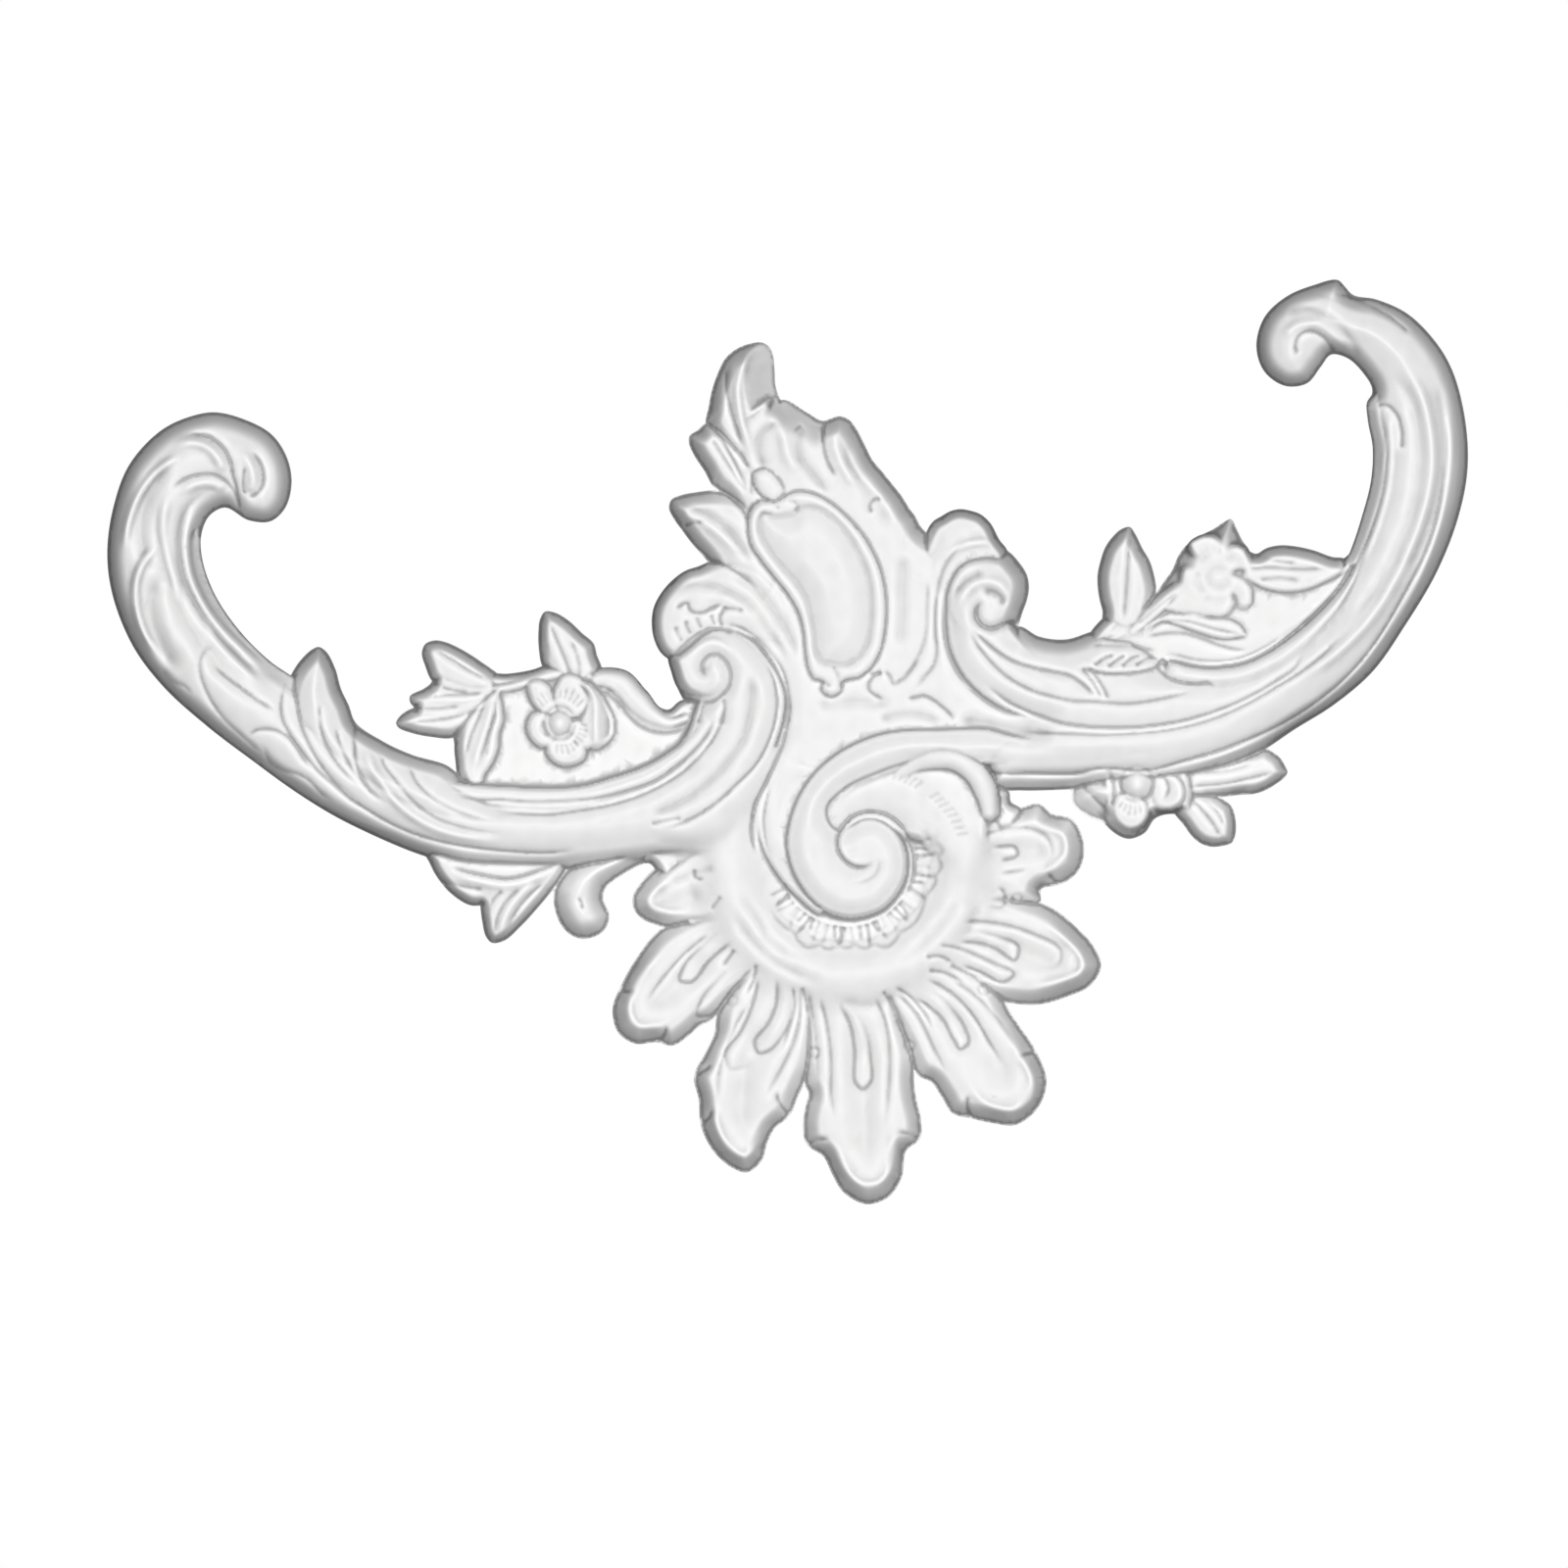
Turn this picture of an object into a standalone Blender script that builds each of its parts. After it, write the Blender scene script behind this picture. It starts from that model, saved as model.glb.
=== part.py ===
"""Rococo wall applique: one cast relief with two swept arms, a crest and a shell.

The back is the plane y = 0, the face looks towards -Y, and the origin lies on the back
behind the middle of the piece. Sizes below are in millimetres.
"""
import bpy
import bmesh
import numpy as np

NODE_NAME = "rococo_applique"
MM = 0.001
GRID_STEP = 1.0
FACE_TRIANGLES = 7600
THINNING_DEPTH = 0.4
PLATE = 12.5
SHELL_HUB = (32.0, -38.0)
FIELD_X = (-352.0, 356.0)
FIELD_Z = (-221.0, 264.0)
DEEPEST = 35.0
LIP = 2.0
DRAFT = 1.5
CURVE_SPACING = 1.2
SMALLEST_GROOVE = 2.0


def curve(points, closed=False):
    """Smooth curve through x, z pairs given in a row; a pair written twice is a sharp corner."""
    p = np.array(points, dtype=float).reshape(-1, 2)
    corners = [i for i in range(1, len(p)) if np.allclose(p[i], p[i - 1])]
    if closed and not corners:
        n = len(p)
        dense = hermite(np.vstack([p[-2:], p, p[:3]]), 2, 2 + n)
        return dense[:-1]
    if closed:
        runs = split_at_repeats(np.roll(p, -corners[0], axis=0))
        dense = [hermite(np.array(run))[:-1] for run in runs if len(run) > 1]
        return np.vstack(dense)
    runs = split_at_repeats(p)
    dense = [hermite(np.array(run)) for run in runs if len(run) > 1]
    out = [dense[0]] + [d[1:] for d in dense[1:]]
    return np.vstack(out)


def split_at_repeats(p):
    runs = [[p[0]]]
    for q in p[1:]:
        if np.allclose(q, runs[-1][-1]):
            runs.append([q])
        else:
            runs[-1].append(q)
    return runs


def hermite(p, first=0, last=None):
    """Dense points of the smooth curve from knot first to knot last."""
    last = len(p) - 1 if last is None else last
    gap = np.maximum(np.linalg.norm(np.diff(p, axis=0), axis=1), 1e-6)
    h = gap ** 0.75
    slope = np.diff(p, axis=0) / h[:, None]
    m = np.empty_like(p)
    if len(p) == 2:
        m[:] = slope[0]
    else:
        a, b = h[:-1, None], h[1:, None]
        m[1:-1] = (slope[:-1] * b + slope[1:] * a) / (a + b)
        m[0] = 1.5 * slope[0] - 0.5 * m[1]
        m[-1] = 1.5 * slope[-1] - 0.5 * m[-2]
    dense = []
    for i in range(first, last):
        n = max(2, int(np.ceil(gap[i] / CURVE_SPACING)))
        s = (np.arange(n) / n)[:, None]
        dense.append((2 * s**3 - 3 * s**2 + 1) * p[i] + (s**3 - 2 * s**2 + s) * h[i] * m[i]
                     + (3 * s**2 - 2 * s**3) * p[i + 1] + (s**3 - s**2) * h[i] * m[i + 1])
    dense.append(p[last][None, :])
    return np.vstack(dense)


def stations(t, values):
    """Value along a stroke from evenly spaced stations, eased between them."""
    v = np.atleast_1d(np.array(values, dtype=float))
    if len(v) == 1:
        return np.full(np.shape(t), v[0])
    if len(v) == 2:
        return v[0] + (v[1] - v[0]) * t
    n = len(v) - 1
    s = np.clip(t, 0.0, 1.0) * n
    i = np.minimum(s.astype(int), n - 1)
    f = s - i
    m = np.gradient(v)
    flat = np.zeros(n + 1, dtype=bool)
    flat[1:-1] = (v[1:-1] - v[:-2]) * (v[2:] - v[1:-1]) <= 0
    m[flat] = 0.0
    return ((2 * f**3 - 3 * f**2 + 1) * v[i] + (f**3 - 2 * f**2 + f) * m[i]
            + (3 * f**2 - 2 * f**3) * v[i + 1] + (f**3 - f**2) * m[i + 1])


def shoulder(u, draft=DRAFT):
    """Drafted rise from 0 at the edge, rounding over to 1 on the flat."""
    return 1.0 - (1.0 - np.clip(u, 0.0, 1.0)) ** draft


def ease(u):
    u = np.clip(u, 0.0, 1.0)
    return u * u * (3.0 - 2.0 * u)


def nearest_on(path, x, z):
    """Fraction along the path and signed distance (left of travel is positive)."""
    shape = np.broadcast(x, z).shape
    gx = np.broadcast_to(x, shape).ravel()
    gz = np.broadcast_to(z, shape).ravel()
    a, b = path[:-1], path[1:]
    ab = b - a
    size = np.maximum((ab ** 2).sum(axis=1), 1e-9)
    length = np.concatenate([[0.0], np.cumsum(np.sqrt(size))])
    t_all = np.empty(len(gx))
    d_all = np.empty(len(gx))
    chunk = max(1, 3000000 // len(a))
    for s in range(0, len(gx), chunk):
        px = gx[s:s + chunk, None] - a[None, :, 0]
        pz = gz[s:s + chunk, None] - a[None, :, 1]
        f = np.clip((px * ab[:, 0] + pz * ab[:, 1]) / size, 0.0, 1.0)
        dx = px - f * ab[:, 0]
        dz = pz - f * ab[:, 1]
        q = dx * dx + dz * dz
        k = q.argmin(axis=1)
        row = np.arange(len(k))
        fk = f[row, k]
        cross = ab[k, 0] * pz[row, k] - ab[k, 1] * px[row, k]
        d_all[s:s + chunk] = np.sqrt(q[row, k]) * np.where(cross >= 0, 1.0, -1.0)
        t_all[s:s + chunk] = (length[k] + fk * (length[k + 1] - length[k])) / length[-1]
    return t_all.reshape(shape), d_all.reshape(shape)


def edge_distance(path, x, z):
    """Distance to a closed outline, positive inside it."""
    ring = np.vstack([path, path[:1]])
    d = nearest_on(ring, x, z)[1]
    shape = np.broadcast(x, z).shape
    inside = np.zeros(shape, dtype=bool)
    for (x1, z1), (x2, z2) in zip(ring[:-1], ring[1:]):
        if z1 == z2:
            continue
        rows = np.nonzero((z1 > z[:, 0]) != (z2 > z[:, 0]))[0]
        if len(rows):
            cut = (x2 - x1) * (z[rows, 0] - z1) / (z2 - z1) + x1
            inside[rows] ^= x < cut[:, None]
    return np.abs(d) * np.where(inside, 1.0, -1.0)


def ellipse(cx, cz, rx, rz):
    """Eight points round an ellipse, for a closed outline."""
    a = np.arange(8) * 2 * np.pi / 8
    return list(zip(cx + rx * np.cos(a), cz + rz * np.sin(a)))


class Relief:
    """Height of the carved face above the flat back, on a square grid, in millimetres."""

    def __init__(self, step):
        self.step = step
        self.x = np.arange(FIELD_X[0], FIELD_X[1], step)
        self.z = np.arange(FIELD_Z[0], FIELD_Z[1], step)
        self.height = np.zeros((len(self.z), len(self.x)))
        self.inside = np.full(self.height.shape, -20.0)

    def window(self, path, margin):
        low = path.min(axis=0) - margin
        high = path.max(axis=0) + margin
        cols = slice(*np.searchsorted(self.x, (low[0], high[0])))
        rows = slice(*np.searchsorted(self.z, (low[1], high[1])))
        return (rows, cols), self.x[cols][None, :], self.z[rows][:, None]

    def lay(self, win, top, depth, over=False, hidden=False, soft=0.0):
        """Join a form: it covers what is lower, or all that it stands on when over is set."""
        here = depth > 0
        old = self.height[win]
        new = top if over else np.maximum(old, top)
        if soft:
            new = new + np.maximum(soft - np.abs(old - top), 0.0) ** 2 / (4.0 * soft) * ease(depth / 3.0)
        self.height[win] = np.where(here, new, old)
        if not hidden:
            self.inside[win] = np.maximum(self.inside[win], depth)

    def pad(self, outline, rise, wall, dome=0.0, spread=30.0, base=0.0, draft=DRAFT, soft=0.0, over=False,
            hidden=False):
        """Plateau inside a closed outline with drafted walls and a gentle dome."""
        path = curve(outline, closed=True)
        win, x, z = self.window(path, 4.0)
        depth = edge_distance(path, x, z)
        top = base + rise * shoulder(depth / wall, draft) + dome * shoulder(depth / spread)
        self.lay(win, top, depth, over, hidden, soft)

    def strip(self, spine, half, rise, base=(0.0,), bulge=2.0):
        """Rounded form along a spine: half width, rise and base by stations."""
        path = curve(spine)
        win, x, z = self.window(path, float(np.max(half)) + 4.0)
        t, d = nearest_on(path, x, z)
        w = np.maximum(stations(t, half), 1e-3)
        u = np.clip(np.abs(d) / w, 0.0, 1.0)
        body = stations(t, rise) * np.sqrt(np.maximum(1.0 - u ** bulge, 0.0))
        self.lay(win, stations(t, base) + body, w - np.abs(d))

    def dish(self, centre, reach, heights, outline):
        """Turned surface about a centre: heights at even steps from the inner to the outer reach."""
        path = curve(outline, closed=True)
        win, x, z = self.window(path, 4.0)
        depth = edge_distance(path, x, z)
        rho = np.hypot(x - centre[0], z - centre[1])
        top = stations(np.clip((rho - reach[0]) / (reach[1] - reach[0]), 0.0, 1.0), heights)
        self.lay(win, top * shoulder(depth / 5.0), depth, soft=4.0)

    def facet(self, outline, lean, fade=3.0, lift=0.0):
        """Tilt the surface inside an outline: lean is the slope along x and z about its middle."""
        path = curve(outline, closed=True)
        win, x, z = self.window(path, 1.0)
        depth = edge_distance(path, x, z)
        mid = path.mean(axis=0)
        shift = lift + lean[0] * (x - mid[0]) + lean[1] * (z - mid[1])
        old = self.height[win]
        new = np.maximum(old + shift * ease(depth / fade), LIP + 0.5)
        self.height[win] = np.where((old > LIP + 0.5) & (depth > 0), new, old)

    def groove(self, points, cut, width, fade=(0.15, 0.15)):
        """Crease with a sharp bottom, soft hollow when it is wide, raised thread when the cut is negative."""
        if abs(cut) * width < SMALLEST_GROOVE:
            return
        path = curve(points)
        win, x, z = self.window(path, 3.0 * width)
        t, d = nearest_on(path, x, z)
        fall = cut * ease(t / max(fade[0], 1e-3)) * ease((1 - t) / max(fade[1], 1e-3))
        if cut > 0 and width < 2.3:
            fall = fall * np.exp(-np.abs(d) / (0.75 * width))
        else:
            fall = fall * np.exp(-(d / width) ** 2)
        old = self.height[win]
        floor = LIP + 0.5
        self.height[win] = np.where(old > floor, np.maximum(old - fall, floor), old)

    def grooves(self, fade, *rows):
        """Several grooves, each given as its cut, its width and its line."""
        for cut, width, line in rows:
            self.groove(line, cut, width, fade)

    def lap(self, points, drop, reach, side=1, fade=(0.15, 0.15)):
        """Edge of an overlapping form: the surface drops on one side and climbs back."""
        path = curve(points)
        win, x, z = self.window(path, 4.0 * reach)
        t, d = nearest_on(path, x, z)
        d = d * side
        fall = ease(t / max(fade[0], 1e-3)) * ease((1 - t) / max(fade[1], 1e-3))
        # the brow is a sharp edge, rounded over a fifth of the reach
        brow = reach * 0.22
        low = np.where(d > 0, np.exp(-d / reach) * ease(d / brow * 0.5 + 0.5), ease(d / brow * 0.5 + 0.5))
        ends = np.where((t <= 0) | (t >= 1), 0.0, 1.0)
        old = self.height[win]
        new = np.maximum(old - drop * fall * low * ends, LIP + 0.5)
        self.height[win] = np.where(old > LIP + 0.5, new, old)

    def finish(self, passes=1):
        """Soften the field a little inside the outline, set the lip and the full depth of the cast."""
        mask = (self.inside > -self.step * 1.5).astype(float)
        h = np.where(mask > 0, np.maximum(self.height, LIP), 0.0)
        for _ in range(passes):
            for axis in (0, 1):
                num = 2 * h * mask + np.roll(h * mask, 1, axis) + np.roll(h * mask, -1, axis)
                den = 2 * mask + np.roll(mask, 1, axis) + np.roll(mask, -1, axis)
                h = np.where(mask > 0, num / np.maximum(den, 1e-9), 0.0)
        h = LIP + (h - LIP) * (DEEPEST - LIP) / (h.max() - LIP)
        self.height = np.where(mask > 0, np.maximum(h, LIP), 0.0)


def infill_plates(r):
    # ground of the centre, seen only between the volute and the shell
    r.pad([-69,-40.5, -71.5,-40.5, -74,-34, -60,-24, -46,-14, -20,0, 0,24, 80,24, 104,6, 115,-4, 115.8,-9,
            121,-12.5, 112,-40, 104,-80, 80,-112, 30,-124, -10,-112, -44,-84, -58,-62], 13.0, 5.0)
    r.pad([-166,0, -167.5,10, -168,22, -160,40, -151,56, -141,56.3, -128,58.5, -118,62, -100,62, -91.5,58,
            -83,55.5, -72,47, -63,39, -59,38, -53,42.5, -44,44, -48,20, -80,0, -120,-8], PLATE, 3.5)
    r.pad([150,60, 162,84, 180,92, 200,100, 236,117, 262,112, 285.5,115, 294,124, 290,105, 270,82, 240,60,
            200,54, 165,50], 16.0, 5.0, dome=1.5, spread=12.0)


def left_arm(r):
    r.pad([-295,30, -317,50, -332,70, -343,98, -345.3,118, -342,142, -334,163, -317,181, -303,187.5,
            -291,189.7, -276,186.3, -261,178, -253,165, -251.3,152, -255,140, -262,134, -273,134.5,
            -285.5,141, -293,137, -297.3,127, -297,116, -291,98, -278,78.5, -262,62.5, -250,54, -238,42,
            -222,30, -205,19, -185,9, -167,4, -150,0.7, -130,-0.3, -110,0, -90,4.5, -75,9.5, -60,17.5,
            -50,26, -46,34, -52,44, -57.5,57, -59,66, -52,75, -42,80, -28,78, -15,71, -6,58, -2,42, -1,24,
            -3,8, -8,-8, -18,-22, -32,-31, -48,-36, -62,-38, -78,-38.5, -95,-39.5, -115,-40.3, -140,-40.2,
            -170,-38.2, -190,-34.5, -210,-26, -230,-16, -250,-3.5, -270,11], 17.0, 11.0, dome=9.0,
        spread=22.0, draft=1.8, soft=3.0)
    # short step where the band stands on the infill, and the part that turns up along the S-curve
    r.pad([-202,4, -194,8, -180,4.5, -166,2.5, -153,1, -140,0.3, -130,-0.3, -120,-0.5, -110,0, -100,1.5,
            -90,4.5, -80,7.5, -70,11.5, -60,17.5, -52,23.5, -46,30, -42,38, -34,32, -44,14, -60,0, -80,-9,
            -110,-17, -140,-16, -166,-12, -192,-6], 22.0, 3.2, dome=4.0, spread=12.0)
    r.pad([-33,81.5, -25,80.5, -15,75, -7,66, 0,55, 3,45, 2.5,35, -1,22, -6,10, -12,-3, -15.5,-11, -22,-16,
            -34,-12, -48,0, -58,12, -50,30, -45,45, -40,60, -48,72], 20.5, 3.6, dome=5.5, spread=14.0,
        soft=3.0)
    r.pad([-2,20, -10,4, -14,-12, -16,-26, -24,-36, -38,-42, -56,-42, -72,-38, -84,-20, -60,0, -36,14,
            -20,30], 23.0, 18.0, dome=2.0, spread=24.0, soft=4.0)
    r.grooves((0.1, 0.08),
        (2.2, 1.8, [-183,-15, -150,-8, -130,-9, -110,-8.5, -95,-7, -80,-3.5, -65,2, -55,9, -45,18, -38,27,
            -35,36]),
        (1.8, 1.6, [-160,-14, -137,-15, -120,-15.5, -105,-13.5, -90,-11, -75,-6.5, -62,-0.5, -50,7.5,
            -40,18, -34,27, -31,36, -30.5,44]),
        (2.4, 1.8, [-252,56.5, -255,49, -256.5,39, -255,31, -250,22, -244,14, -237,6, -230,0, -222,-7,
            -213,-13, -203,-19, -190,-25, -177,-29, -165,-31.5, -150,-33.5, -138,-34.5, -118,-35,
            -105,-33]), (1.6, 2.6, [-16.5,57, -16,45, -17.5,33, -21,22, -28,12, -36,3, -50,-8, -68,-16]),
        (2.0, 1.9, [-62,-24, -46,-17, -35,-10, -25,-1, -15,9, -9,19, -5,30, -3.5,42, -5,53, -10,63.5,
            -18,72, -25,76.5, -35,78.5]),
        (2.2, 1.8, [-14,-36, -16.5,-23, -14.5,-10, -9,1, -3.5,13, 0.5,25, 2.6,38, 2,48, -1,58, -7,67,
            -15,75.5, -24,80.5, -33,82]), (1.2, 1.4, [-68,-20.5, -60,-18.5, -52,-17.5]))
    # inner edge moulding, long soft hollows and the leaf edges between them
    r.grooves((0.2, 0.2),
        (3.4, 2.8, [-290,150, -303,143, -308,132, -309,120, -307,106, -301,93, -292,80, -281,68, -268,56,
            -258,50]),
        (-2.0, 1.8, [-298,143, -304,130, -305,120, -302.5,105, -296,91, -287,79, -275,67, -262,55]),
        (-2.0, 1.8, [-336,120, -334,136, -328,150, -318,161, -308,167]),
        (3.2, 4.8, [-314,170, -325,156, -330,140, -330,124, -326,110]),
        (-1.8, 1.8, [-322,74, -328,88, -328,101, -323,112, -318,118]),
        (3.0, 4.6, [-309,50, -317,62, -322,76, -322,90, -317,102]),
        (2.4, 4.2, [-320,146, -318,124, -312,100, -300,76, -286,58, -268,42]),
        (-1.0, 2.4, [-327,142, -325,126, -320,108, -312,90, -303,75]),
        (1.8, 1.7, [-289,68.5, -292.5,69.5, -296.5,66, -297.8,58, -295,48, -288,36, -276,24, -262,12]),
        (1.8, 1.6, [-292,61, -285,55, -276,48, -266,41, -258,37]),
        (-1.2, 1.8, [-296,86, -290,74, -280,63, -268,52]),
        (2.2, 1.7, [-275,22, -270,27, -264,28, -257,26.5, -251,22, -246,14, -240,6]),
        (1.8, 1.7, [-268,22, -264.5,17, -263,12, -256,7, -248,5, -242,1.5, -237,-4, -228,-10]),
        (1.4, 1.6, [-318,60, -312,52, -306,50, -302,45]),
        (-1.2, 1.6, [-300,36, -284,22, -262,6, -240,-8, -220,-18, -196,-27]))
    # creases that wind into the tip
    r.grooves((0.25, 0.12),
        (2.6, 2.0, [-312,176, -300,178.5, -290,176, -285,170, -282.5,163, -281,156, -279,150, -278,143,
            -277,137]), (2.0, 2.6, [-308,160, -298,160, -291,158.5, -285,156, -281,151, -278.5,142]),
        (2.2, 1.8, [-272,171, -266,161, -265.5,154, -268,149, -274,146]),
        (-1.2, 1.8, [-277,170, -271.5,161, -271,154, -273,149]),
        (1.8, 1.5, [-275,163, -276,156, -276,151, -274.5,147]))


def big_leaf(r):
    """Acanthus leaf that lies along the arm, its tip curled free on the upper side."""
    r.pad([-249,60, -245,65, -241,68.5, -237.5,70, -234,68, -229,59, -226,48.5, -222,40, -219,32, -205,22,
            -190,15, -172,9.5, -167,6, -150,-4, -120,-14, -118,-26, -140,-31, -165,-30, -190,-24, -213,-12,
            -230,1, -246,18, -253.5,31, -254.5,42, -253,52], 20.0, 7.0, dome=8.5, spread=22.0)
    for cut, width, line in ((2.2, 1.8, [-246,58, -248,45, -247,33, -243,22, -238,12, -230,2, -216,-9]),
        (1.8, 1.6, [-237,42, -236,27, -232,17, -225,7, -214,-3]),
        (1.6, 1.8, [-229,30, -224,14, -214,0, -200,-12]),
        (-1.4, 1.8, [-213,21, -211,10, -205,0, -197,-10, -187,-18, -175,-24, -160,-27.5, -140,-29]),
        (1.6, 1.8, [-207,22, -204,10, -198,2, -190,-8, -178,-17, -160,-23, -140,-25]),
        (1.5, 1.8, [-192,14, -188,2, -178,-8, -164,-15, -145,-19]),
        (1.2, 1.8, [-176,8, -168,-2, -155,-9, -140,-12])):
        r.groove(line, cut, width, fade=(0.12, 0.3))
    r.lap([-219,33, -219.8,22, -218.5,9, -213,-2, -205,-11], 3.0, 5.0, side=1, fade=(0.05, 0.4))


def left_sprig(r):
    # the three small leaves share one body
    r.pad([-146,56, -154,61, -166,69, -178,72.5, -183.8,67, -182,59, -179.5,53, -184,48, -190.5,43.5,
            -189,39, -196,34, -197.5,31, -196,29, -190,26.5, -180,24.5, -168,24, -158,28, -146,38], 14.5,
        5.5, dome=1.0, spread=12.0)
    for outline in ([-148,57, -154,62, -167,70, -173,72.5, -178,73.3, -183,71.5, -184.8,67, -183,60,
            -179.5,52.5, -172,49, -160,45.5, -148,47],
        [-150,50, -165,49, -178,52, -184,48.5, -191,44.5, -190.5,41, -188,39, -176,37, -160,38, -150,42],
        [-148,46, -162,42, -178,39.5, -190,38.5, -196.5,34, -198,31, -197,29, -190,26, -180,24, -169,23.5,
            -158,30, -148,38], [-131,52, -140,49, -143,43, -141.5,37, -142.5,30, -144,27, -143,22, -147,14,
            -146,9, -151,3, -155,1, -161,2, -166,12, -168.5,22, -168.5,30, -165,37, -158,43, -148,50,
            -138,55], [-113,50, -123.3,60, -125,68, -125.3,78, -124.5,84, -122,88, -117,87.5, -110,83.5,
            -103,77, -97,71.5, -95.5,66, -93,58, -100,50]):
        r.pad(outline, 14.0, 5.5, dome=3.0, spread=12.0, soft=1.5)
    r.grooves((0.15, 0.2), (1.8, 1.7, [-150,53, -162,59, -172,65.5, -180,69.5]),
        (1.5, 1.6, [-152,46, -170,45.5, -187,43]), (1.8, 1.7, [-152,39, -170,34, -193,31]),
        (1.6, 1.6, [-150,48, -155,36, -160,24, -163.5,12]),
        (1.5, 1.5, [-146,46, -148,34, -152,22, -156,10]), (1.3, 1.5, [-152,36, -150,24, -148,16]),
        (1.3, 1.5, [-158,38, -163,30, -166,22]), (-1.2, 1.8, [-148,42, -151,30, -155,18, -158,8]),
        (1.8, 1.7, [-108,53, -112,64, -117,76, -120.5,85]), (1.3, 1.5, [-104,54, -105,64, -109,74]),
        (1.3, 1.5, [-113,54, -119,64, -122,74]), (1.8, 1.5, [-180,52.5, -172,48.5, -160,47]),
        (1.4, 1.4, [-189,38.8, -176,38.5, -164,40]),
        (2.0, 1.5, [-131,52.5, -137,51, -141.5,48, -143.5,42, -142.5,36, -143,30, -146,24]))
    r.strip([-153,48, -140,49.5, -128,53, -116,56, -100,55], (3.0, 4.0, 4.5, 5.0, 5.0),
        (14, 15.5, 15.5, 15))
    # the stem from the flower to the small volute
    r.strip([-100,50, -93,53.5, -84,51.5, -76,43, -68,35.5, -59,31.5, -50,33.5],
        (5.0, 6.0, 7.5, 7.5, 6.0, 4.0, 3.0), (14, 16, 16.5, 16, 15, 15), bulge=2.6)
    r.grooves((0.12, 0.12),
        (2.2, 1.7, [-97,44.5, -91,46, -87,43, -82,37.5, -75,30.5, -68,27, -60,25.8, -54,27, -49,30]),
        (-1.0, 1.6, [-96,48, -89,49.5, -83,44, -76,36, -68,31, -60,29, -53,31]))
    flower(r, (-114.5, 31), (8.0, 8.6), 14.0, 22.5, 4.0,
        [-105,54, -99,53, -94,47, -90,40, -87,33, -87,26, -90,21, -97,17.5, -103,22, -105,30, -103,40],
        [-117,51, -113,56.5, -107,56.5, -101.5,52, -99,45, -102,39, -108,35, -114,37, -118,43],
        [-131,52, -127,54, -121,51, -118,45, -116,39, -120,36, -126,38, -130,44],
        [-122,36, -128,36, -131.5,30, -129.5,23, -124,18, -117,20, -115,29],
        [-121,22, -120.5,14, -115,9.5, -107,9.5, -101.5,13, -101,19, -105,25, -114,26],
        [-107,31, -100,30, -95,26, -95,20, -101,17, -107,21, -110,27])
    r.facet([-104,52, -98,52, -90,40, -87,32, -88,24, -96,19, -98,30, -98,42], (-0.55, 0.0), lift=0.5)


def flower(r, centre, button, base, top, rise, *petals):
    """Open flower: cupped petals with fine strokes towards a domed button."""
    cx, cz = centre
    for outline in petals:
        r.pad(outline, rise, 0.8 * rise, dome=0.5 * rise, spread=7.0, base=base)
        middle = np.array(outline, dtype=float).reshape(-1, 2).mean(axis=0) - centre
        reach = np.hypot(*middle)
        for k in (-2, -1, 0, 1, 2):
            a = np.arctan2(middle[1], middle[0]) + 0.2 * k
            near, far = reach * (0.74 + 0.05 * np.sin(5 * a)), reach * 1.3 - 0.9 * abs(k)
            r.groove([cx + near * np.cos(a), cz + near * np.sin(a), cx + far * np.cos(a),
                      cz + far * np.sin(a)],
                     0.5 + 0.12 * rise, 1.0, fade=(0.2, 0.4))
    ring = ellipse(cx, cz, *button)
    r.groove(ring + ring[:1], 0.45 * rise + 0.4, 1.6, fade=(0, 0))
    r.pad(ring, top - base, 0.9 * min(button), base=base, draft=1.7)


def lower_left_leaf(r):
    r.pad([-183,-36, -181,-40, -178,-46, -170,-55.8, -159.7,-62, -155,-62, -155,-62, -154,-70, -152,-78,
            -149.2,-81, -143.5,-80.3, -133.7,-72, -125.3,-62.8, -120,-56.5, -112,-46, -108,-34, -140,-34],
        11.5, 5.0, dome=3.0, spread=14.0)
    r.pad([-71,-40.2, -75,-42, -82,-46, -88,-50, -91,-53, -92.3,-58.5, -91,-62, -89.3,-66, -89.5,-70,
            -92,-75, -97,-78, -103,-79, -108,-77.5, -113,-73, -116,-67, -117.5,-60, -117,-52, -112,-44,
            -104,-38, -88,-33, -66,-28], 12.0, 10.0, dome=5.0, spread=14.0, draft=1.9)
    r.grooves((0.15, 0.15),
        (2.4, 1.8, [-172,-42, -160,-45, -150,-47, -142,-48, -133,-46.5, -125,-44, -115,-41.5]),
        (-1.4, 2.0, [-168,-46.5, -158,-49, -148,-51, -138,-51, -128,-48, -118,-44]),
        (1.6, 1.5, [-176,-49, -168,-51.5, -160,-53, -153,-54]),
        (1.4, 1.6, [-148,-78, -147,-70, -142,-60, -134,-53]), (1.4, 1.6, [-152,-66, -149,-60, -143,-54]),
        (1.4, 1.6, [-141,-76, -137,-66, -130,-57, -122,-50]),
        (-1.2, 1.8, [-145,-78, -142,-68, -136,-58, -126,-50]),
        (2.6, 1.9, [-119,-59, -116,-52, -111,-45, -105,-40, -98,-37.5]),
        (1.8, 1.7, [-106,-33, -105,-35.5, -98,-38.2, -88,-37, -78,-33.5, -66,-29]),
        (1.4, 1.3, [-105.5,-58, -103.5,-60, -103,-64]))


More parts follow.
